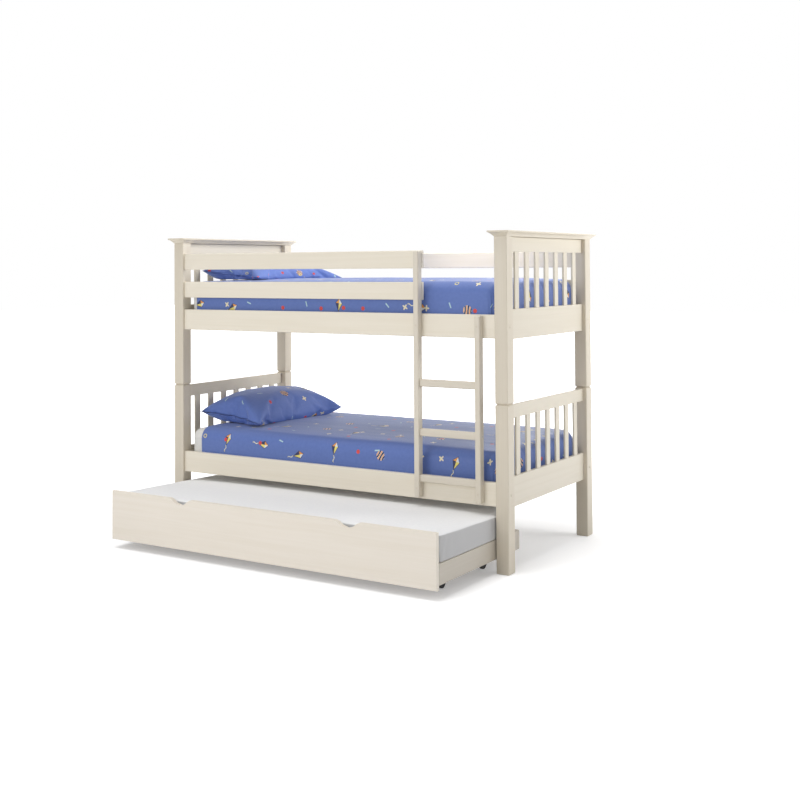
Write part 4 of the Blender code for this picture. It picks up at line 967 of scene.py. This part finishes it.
def open_mouth(piece, seed):
    """Turns the seam at the case's front end into its mouth: two lips, and the fold that closes it."""
    bm = bmesh.new()
    bm.from_mesh(piece.data)
    layer = bm.loops.layers.uv["cloth"]
    bmesh.ops.split_edges(bm, edges=[edge for edge in bm.edges if edge.seam])
    rims = [edge for edge in bm.edges if edge.is_boundary]
    half_width = max(abs(corner.co.x) for edge in rims for corner in edge.verts)
    for facing in (1, -1):
        row = [edge for edge in rims if edge.link_faces[0].normal.z * facing > 0]
        for out, lift in ((-LIP_REACH, LIP_SPREAD), (LIP_REACH + MOUTH_DEPTH, -LIP_SPREAD)):
            grown = bmesh.ops.extrude_edge_only(bm, edges=row)["geom"]
            row = [item for item in grown if isinstance(item, bmesh.types.BMEdge)]
            tips = [item for item in grown if isinstance(item, bmesh.types.BMVert)]
            for vertex in tips:
                open_share = max(0, 1 - (abs(vertex.co.x) / half_width) ** 8) ** 0.5
                vertex.co += Vector((0, out * open_share, lift * facing * open_share))
            row = [edge for edge in row if all(corner in tips for corner in edge.verts)]
            for item in grown:
                if isinstance(item, bmesh.types.BMFace):
                    for loop in item.loops:
                        loop[layer].uv = (loop.vert.co.x + seed, loop.vert.co.y + seed)
    bmesh.ops.remove_doubles(bm, verts=bm.verts[:], dist=PILLOW_STEP / 50)
    bmesh.ops.recalc_face_normals(bm, faces=bm.faces[:])
    bm.to_mesh(piece.data)
    bm.free()


def inflate(piece):
    """Blows a sewn case up with the cloth simulation, and keeps the shape that it ends in."""
    cloth = piece.modifiers.new("fill", "CLOTH")
    for setting, value in CASE_CLOTH.items():
        setattr(cloth.settings, setting, value)
    cloth.settings.effector_weights.gravity = 0
    cloth.point_cache.frame_start = 1
    cloth.point_cache.frame_end = PILLOW_FRAMES
    scene = bpy.context.scene
    for step in range(1, PILLOW_FRAMES + 1):
        scene.frame_set(step)
    shaped = piece.evaluated_get(bpy.context.evaluated_depsgraph_get())
    places = np.empty(len(shaped.data.vertices) * 3, np.float32)
    shaped.data.vertices.foreach_get("co", places)
    piece.modifiers.remove(cloth)
    piece.data.vertices.foreach_set("co", places)
    piece.data.update()
    scene.frame_set(1)


def make_pillow(level, seed):
    """A filled case, fitted to its place: propped at the left, flat where it rests on the cover."""
    low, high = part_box(f"{level}_pillow")
    centre = (low + high) / 2
    top_bulge, under_bulge = PILLOW_BULGES[level]
    name = f"{level}_pillow_cotton"
    cotton = printed_cotton(name, (seed * 0.31, seed * 0.57), 0.25, 0.6, PILLOW_PAINTED_LIGHT_BLUE, PILLOW_PAINTED_LIGHT_DEEP)
    name = f"{level}_printed_pillow"
    pillow = finish_soft(name, sewn_case(seed), cotton, "bedstead", f"{level}_pillow")
    inflate(pillow)
    reach = np.abs([vertex.co for vertex in pillow.data.vertices]).max(axis=0)
    open_mouth(pillow, seed)
    turn = Matrix.Rotation(PILLOW_TURN, 3, "Z")
    for vertex in pillow.data.vertices:
        x, y, z = vertex.co
        x *= PILLOW_WIDTH / 2 / reach[0]
        y *= PILLOW_LENGTH / 2 / reach[1]
        leftward = min(1, max(0, 0.5 - x / PILLOW_WIDTH))
        backward = min(1, max(0, 0.5 + y / PILLOW_LENGTH)) ** 2
        left_seam, right_seam = [front + (back - front) * backward for front, back in PILLOW_SEAMS[level]]
        seam = right_seam + (left_seam - right_seam) * leftward**1.3
        to_seam = max(0, PILLOW_WIDTH / 2 - abs(x))
        wander = 2 * noise.noise(Vector((y * 11, seed, 0)))
        pucker = math.sin(math.tau * y / PUCKER_PITCH + wander)
        z += pucker * PUCKER_DEPTH * max(0, 1 - to_seam / PUCKER_REACH) * min(1, to_seam / SEAM_BAND)
        if z >= 0:
            height = seam + z / reach[2] * top_bulge
        else:
            lowest = seam + z / reach[2] * under_bulge
            height = math.log1p(math.exp(lowest / REST_SOFTNESS)) * REST_SOFTNESS + REST_GAP
        place = Vector((centre.x + PILLOW_SETS[level], centre.y, low.z + height))
        vertex.co = turn @ Vector((x, y, 0)) + place
    pillow.data.update()


for level, seed in (("lower", 1.0), ("upper", 2.0)):
    make_pillow(level, seed)

# Room: a white floor and surround. The floor glows a little for the camera, more with distance, so that
# only the bed's own shadow shows on it. Soft boxes stand in front, behind, at the ladder's end and over
# the pillows, with a broad lamp overhead, a spot on the ladder's end and one on the back guard rail.
FLOOR_SIZE = 60.0
FLOOR_COLOUR = (0.92, 0.92, 0.93)
FLOOR_WHITE_SHARE = 0.28
FLOOR_FADE = (1.5, 3.2)
SKY_STRENGTH = 0.35
OVERHEAD_FROM = (-0.10, -0.20, 0.97)
OVERHEAD_STRENGTH = 1.24
OVERHEAD_BREADTH = math.radians(34)


def seen_share(tree):
    """1 for what the camera sees, also in a sheen or through a piece, and 0 for light on the bed."""
    ray = add(tree, "ShaderNodeLightPath").outputs
    seen = reckon(tree, "MAXIMUM", ray["Is Camera Ray"], ray["Is Glossy Ray"])
    return reckon(tree, "MAXIMUM", seen, ray["Is Transmission Ray"])


bm = bmesh.new()
bmesh.ops.create_grid(bm, x_segments=1, y_segments=1, size=FLOOR_SIZE / 2)
floor_mesh = mesh_from(bm, "studio_floor")
floor = new_object("studio_floor", floor_mesh)
floor_finish = bpy.data.materials.new("floor_paper")
floor_finish.use_nodes = True
tree = floor_finish.node_tree
tree.nodes.clear()
paper = add(tree, "ShaderNodeBsdfDiffuse", {"Color": (*FLOOR_COLOUR, 1)})
place = add(tree, "ShaderNodeTexCoord").outputs["Object"]
away = add(tree, "ShaderNodeVectorMath", {0: place}, operation="LENGTH").outputs["Value"]
white = spread(tree, away, FLOOR_WHITE_SHARE, 1.0, *FLOOR_FADE)
strength = times(tree, seen_share(tree), white)
glow = add(tree, "ShaderNodeEmission", {"Color": (1, 1, 1, 1), "Strength": strength})
both = add(tree, "ShaderNodeAddShader", {0: paper.outputs[0], 1: glow.outputs[0]})
add(tree, "ShaderNodeOutputMaterial", {"Surface": both.outputs[0]})
floor_mesh.materials.append(floor_finish)

world = bpy.data.worlds.new("studio")
bpy.context.scene.world = world
world.use_nodes = True
tree = world.node_tree
tree.nodes.clear()
strength = spread(tree, seen_share(tree), SKY_STRENGTH, 1.0)
sky = add(tree, "ShaderNodeBackground", {"Color": (1, 1, 1, 1), "Strength": strength})
add(tree, "ShaderNodeOutputWorld", {"Surface": sky.outputs[0]})


def hang_lamp(name, kind, place, aim, watts):
    """A lamp at a place, turned to face a point of the bed."""
    light = bpy.data.lights.new(name, kind)
    light.energy = watts
    holder = new_object(name, light)
    turn = (Vector(place) - Vector(aim)).to_track_quat("Z", "Y")
    holder.matrix_world = Matrix.Translation(place) @ turn.to_matrix().to_4x4()
    return light


for name, place, aim, width, height, watts in (
    ("front_soft_box", (-0.4, -5.0, 2.0), (0, 0, 0.6), 2.3, 1.6, 46),
    ("front_high_box", (-0.8, -4.6, 3.4), (0, 0, 1.1), 1.6, 1.2, 18),
    ("back_soft_box", (-0.5, 5.5, 2.6), (0, 0.2, 0.6), 3.0, 2.0, 50),
    ("end_soft_box", (3.4, 2.6, 2.4), (0.3, 0.2, 1.2), 2.0, 1.6, 20),
    ("upper_soft_box", (0.9, 0.7, 2.8), (-0.9, 0.25, 1.4), 0.9, 0.9, 23),
):
    light = hang_lamp(name, "AREA", place, aim, watts)
    light.shape = "RECTANGLE"
    light.size = width
    light.size_y = height

overhead = bpy.data.lights.new("overhead_lamp", "SUN")
overhead.energy = OVERHEAD_STRENGTH
overhead.angle = OVERHEAD_BREADTH
holder = new_object("overhead_lamp", overhead)
holder.rotation_mode = "QUATERNION"
holder.rotation_quaternion = Vector(OVERHEAD_FROM).to_track_quat("Z", "Y")

for name, place, aim, cone, watts, softness, colour in (
    ("end_spot", (7.0, 3.6, 2.7), (0.0, 0.3, 1.8), 35, 1250, 1.3, (1, 1, 1)),
    ("back_rail_spot", (0.35, -0.6, 3.0), (0.38, 0.74, 1.46), 30, 125, 0.15, (1.0, 0.92, 0.78)),
):
    light = hang_lamp(name, "SPOT", place, aim, watts)
    light.color = colour
    light.spot_size = math.radians(cone)
    light.spot_blend = 1.0
    light.shadow_soft_size = softness

# Camera: stands to the right of the bed's front at a child's eye height, and looks level, so the uprights
# stay upright. The frame is shifted down to take in the whole bed.
CAMERA_PLACE = (3.4903, -5.0896, 1.4161)
CAMERA_YAW = 0.559471
CAMERA_PITCH = 0.0239711
CAMERA_ROLL = -0.00634865
FOCAL_PIXELS = 1173.16
FRAME_PIXELS = 800
SENSOR_WIDTH = 36.0
AXIS_ABOVE_MIDDLE_PIXELS = 160

camera_data = bpy.data.cameras.new("photo_camera")
camera_data.sensor_width = SENSOR_WIDTH
camera_data.lens = FOCAL_PIXELS * SENSOR_WIDTH / FRAME_PIXELS
camera_data.shift_y = -AXIS_ABOVE_MIDDLE_PIXELS / FRAME_PIXELS
camera_data.clip_end = 200.0
camera = new_object("photo_camera", camera_data)
aim = Matrix.Rotation(CAMERA_YAW, 4, "Z") @ Matrix.Rotation(math.pi / 2 + CAMERA_PITCH, 4, "X")
camera.matrix_world = Matrix.Translation(CAMERA_PLACE) @ aim @ Matrix.Rotation(CAMERA_ROLL, 4, "Z")
bpy.context.scene.camera = camera
bpy.context.scene.view_settings.view_transform = "Standard"
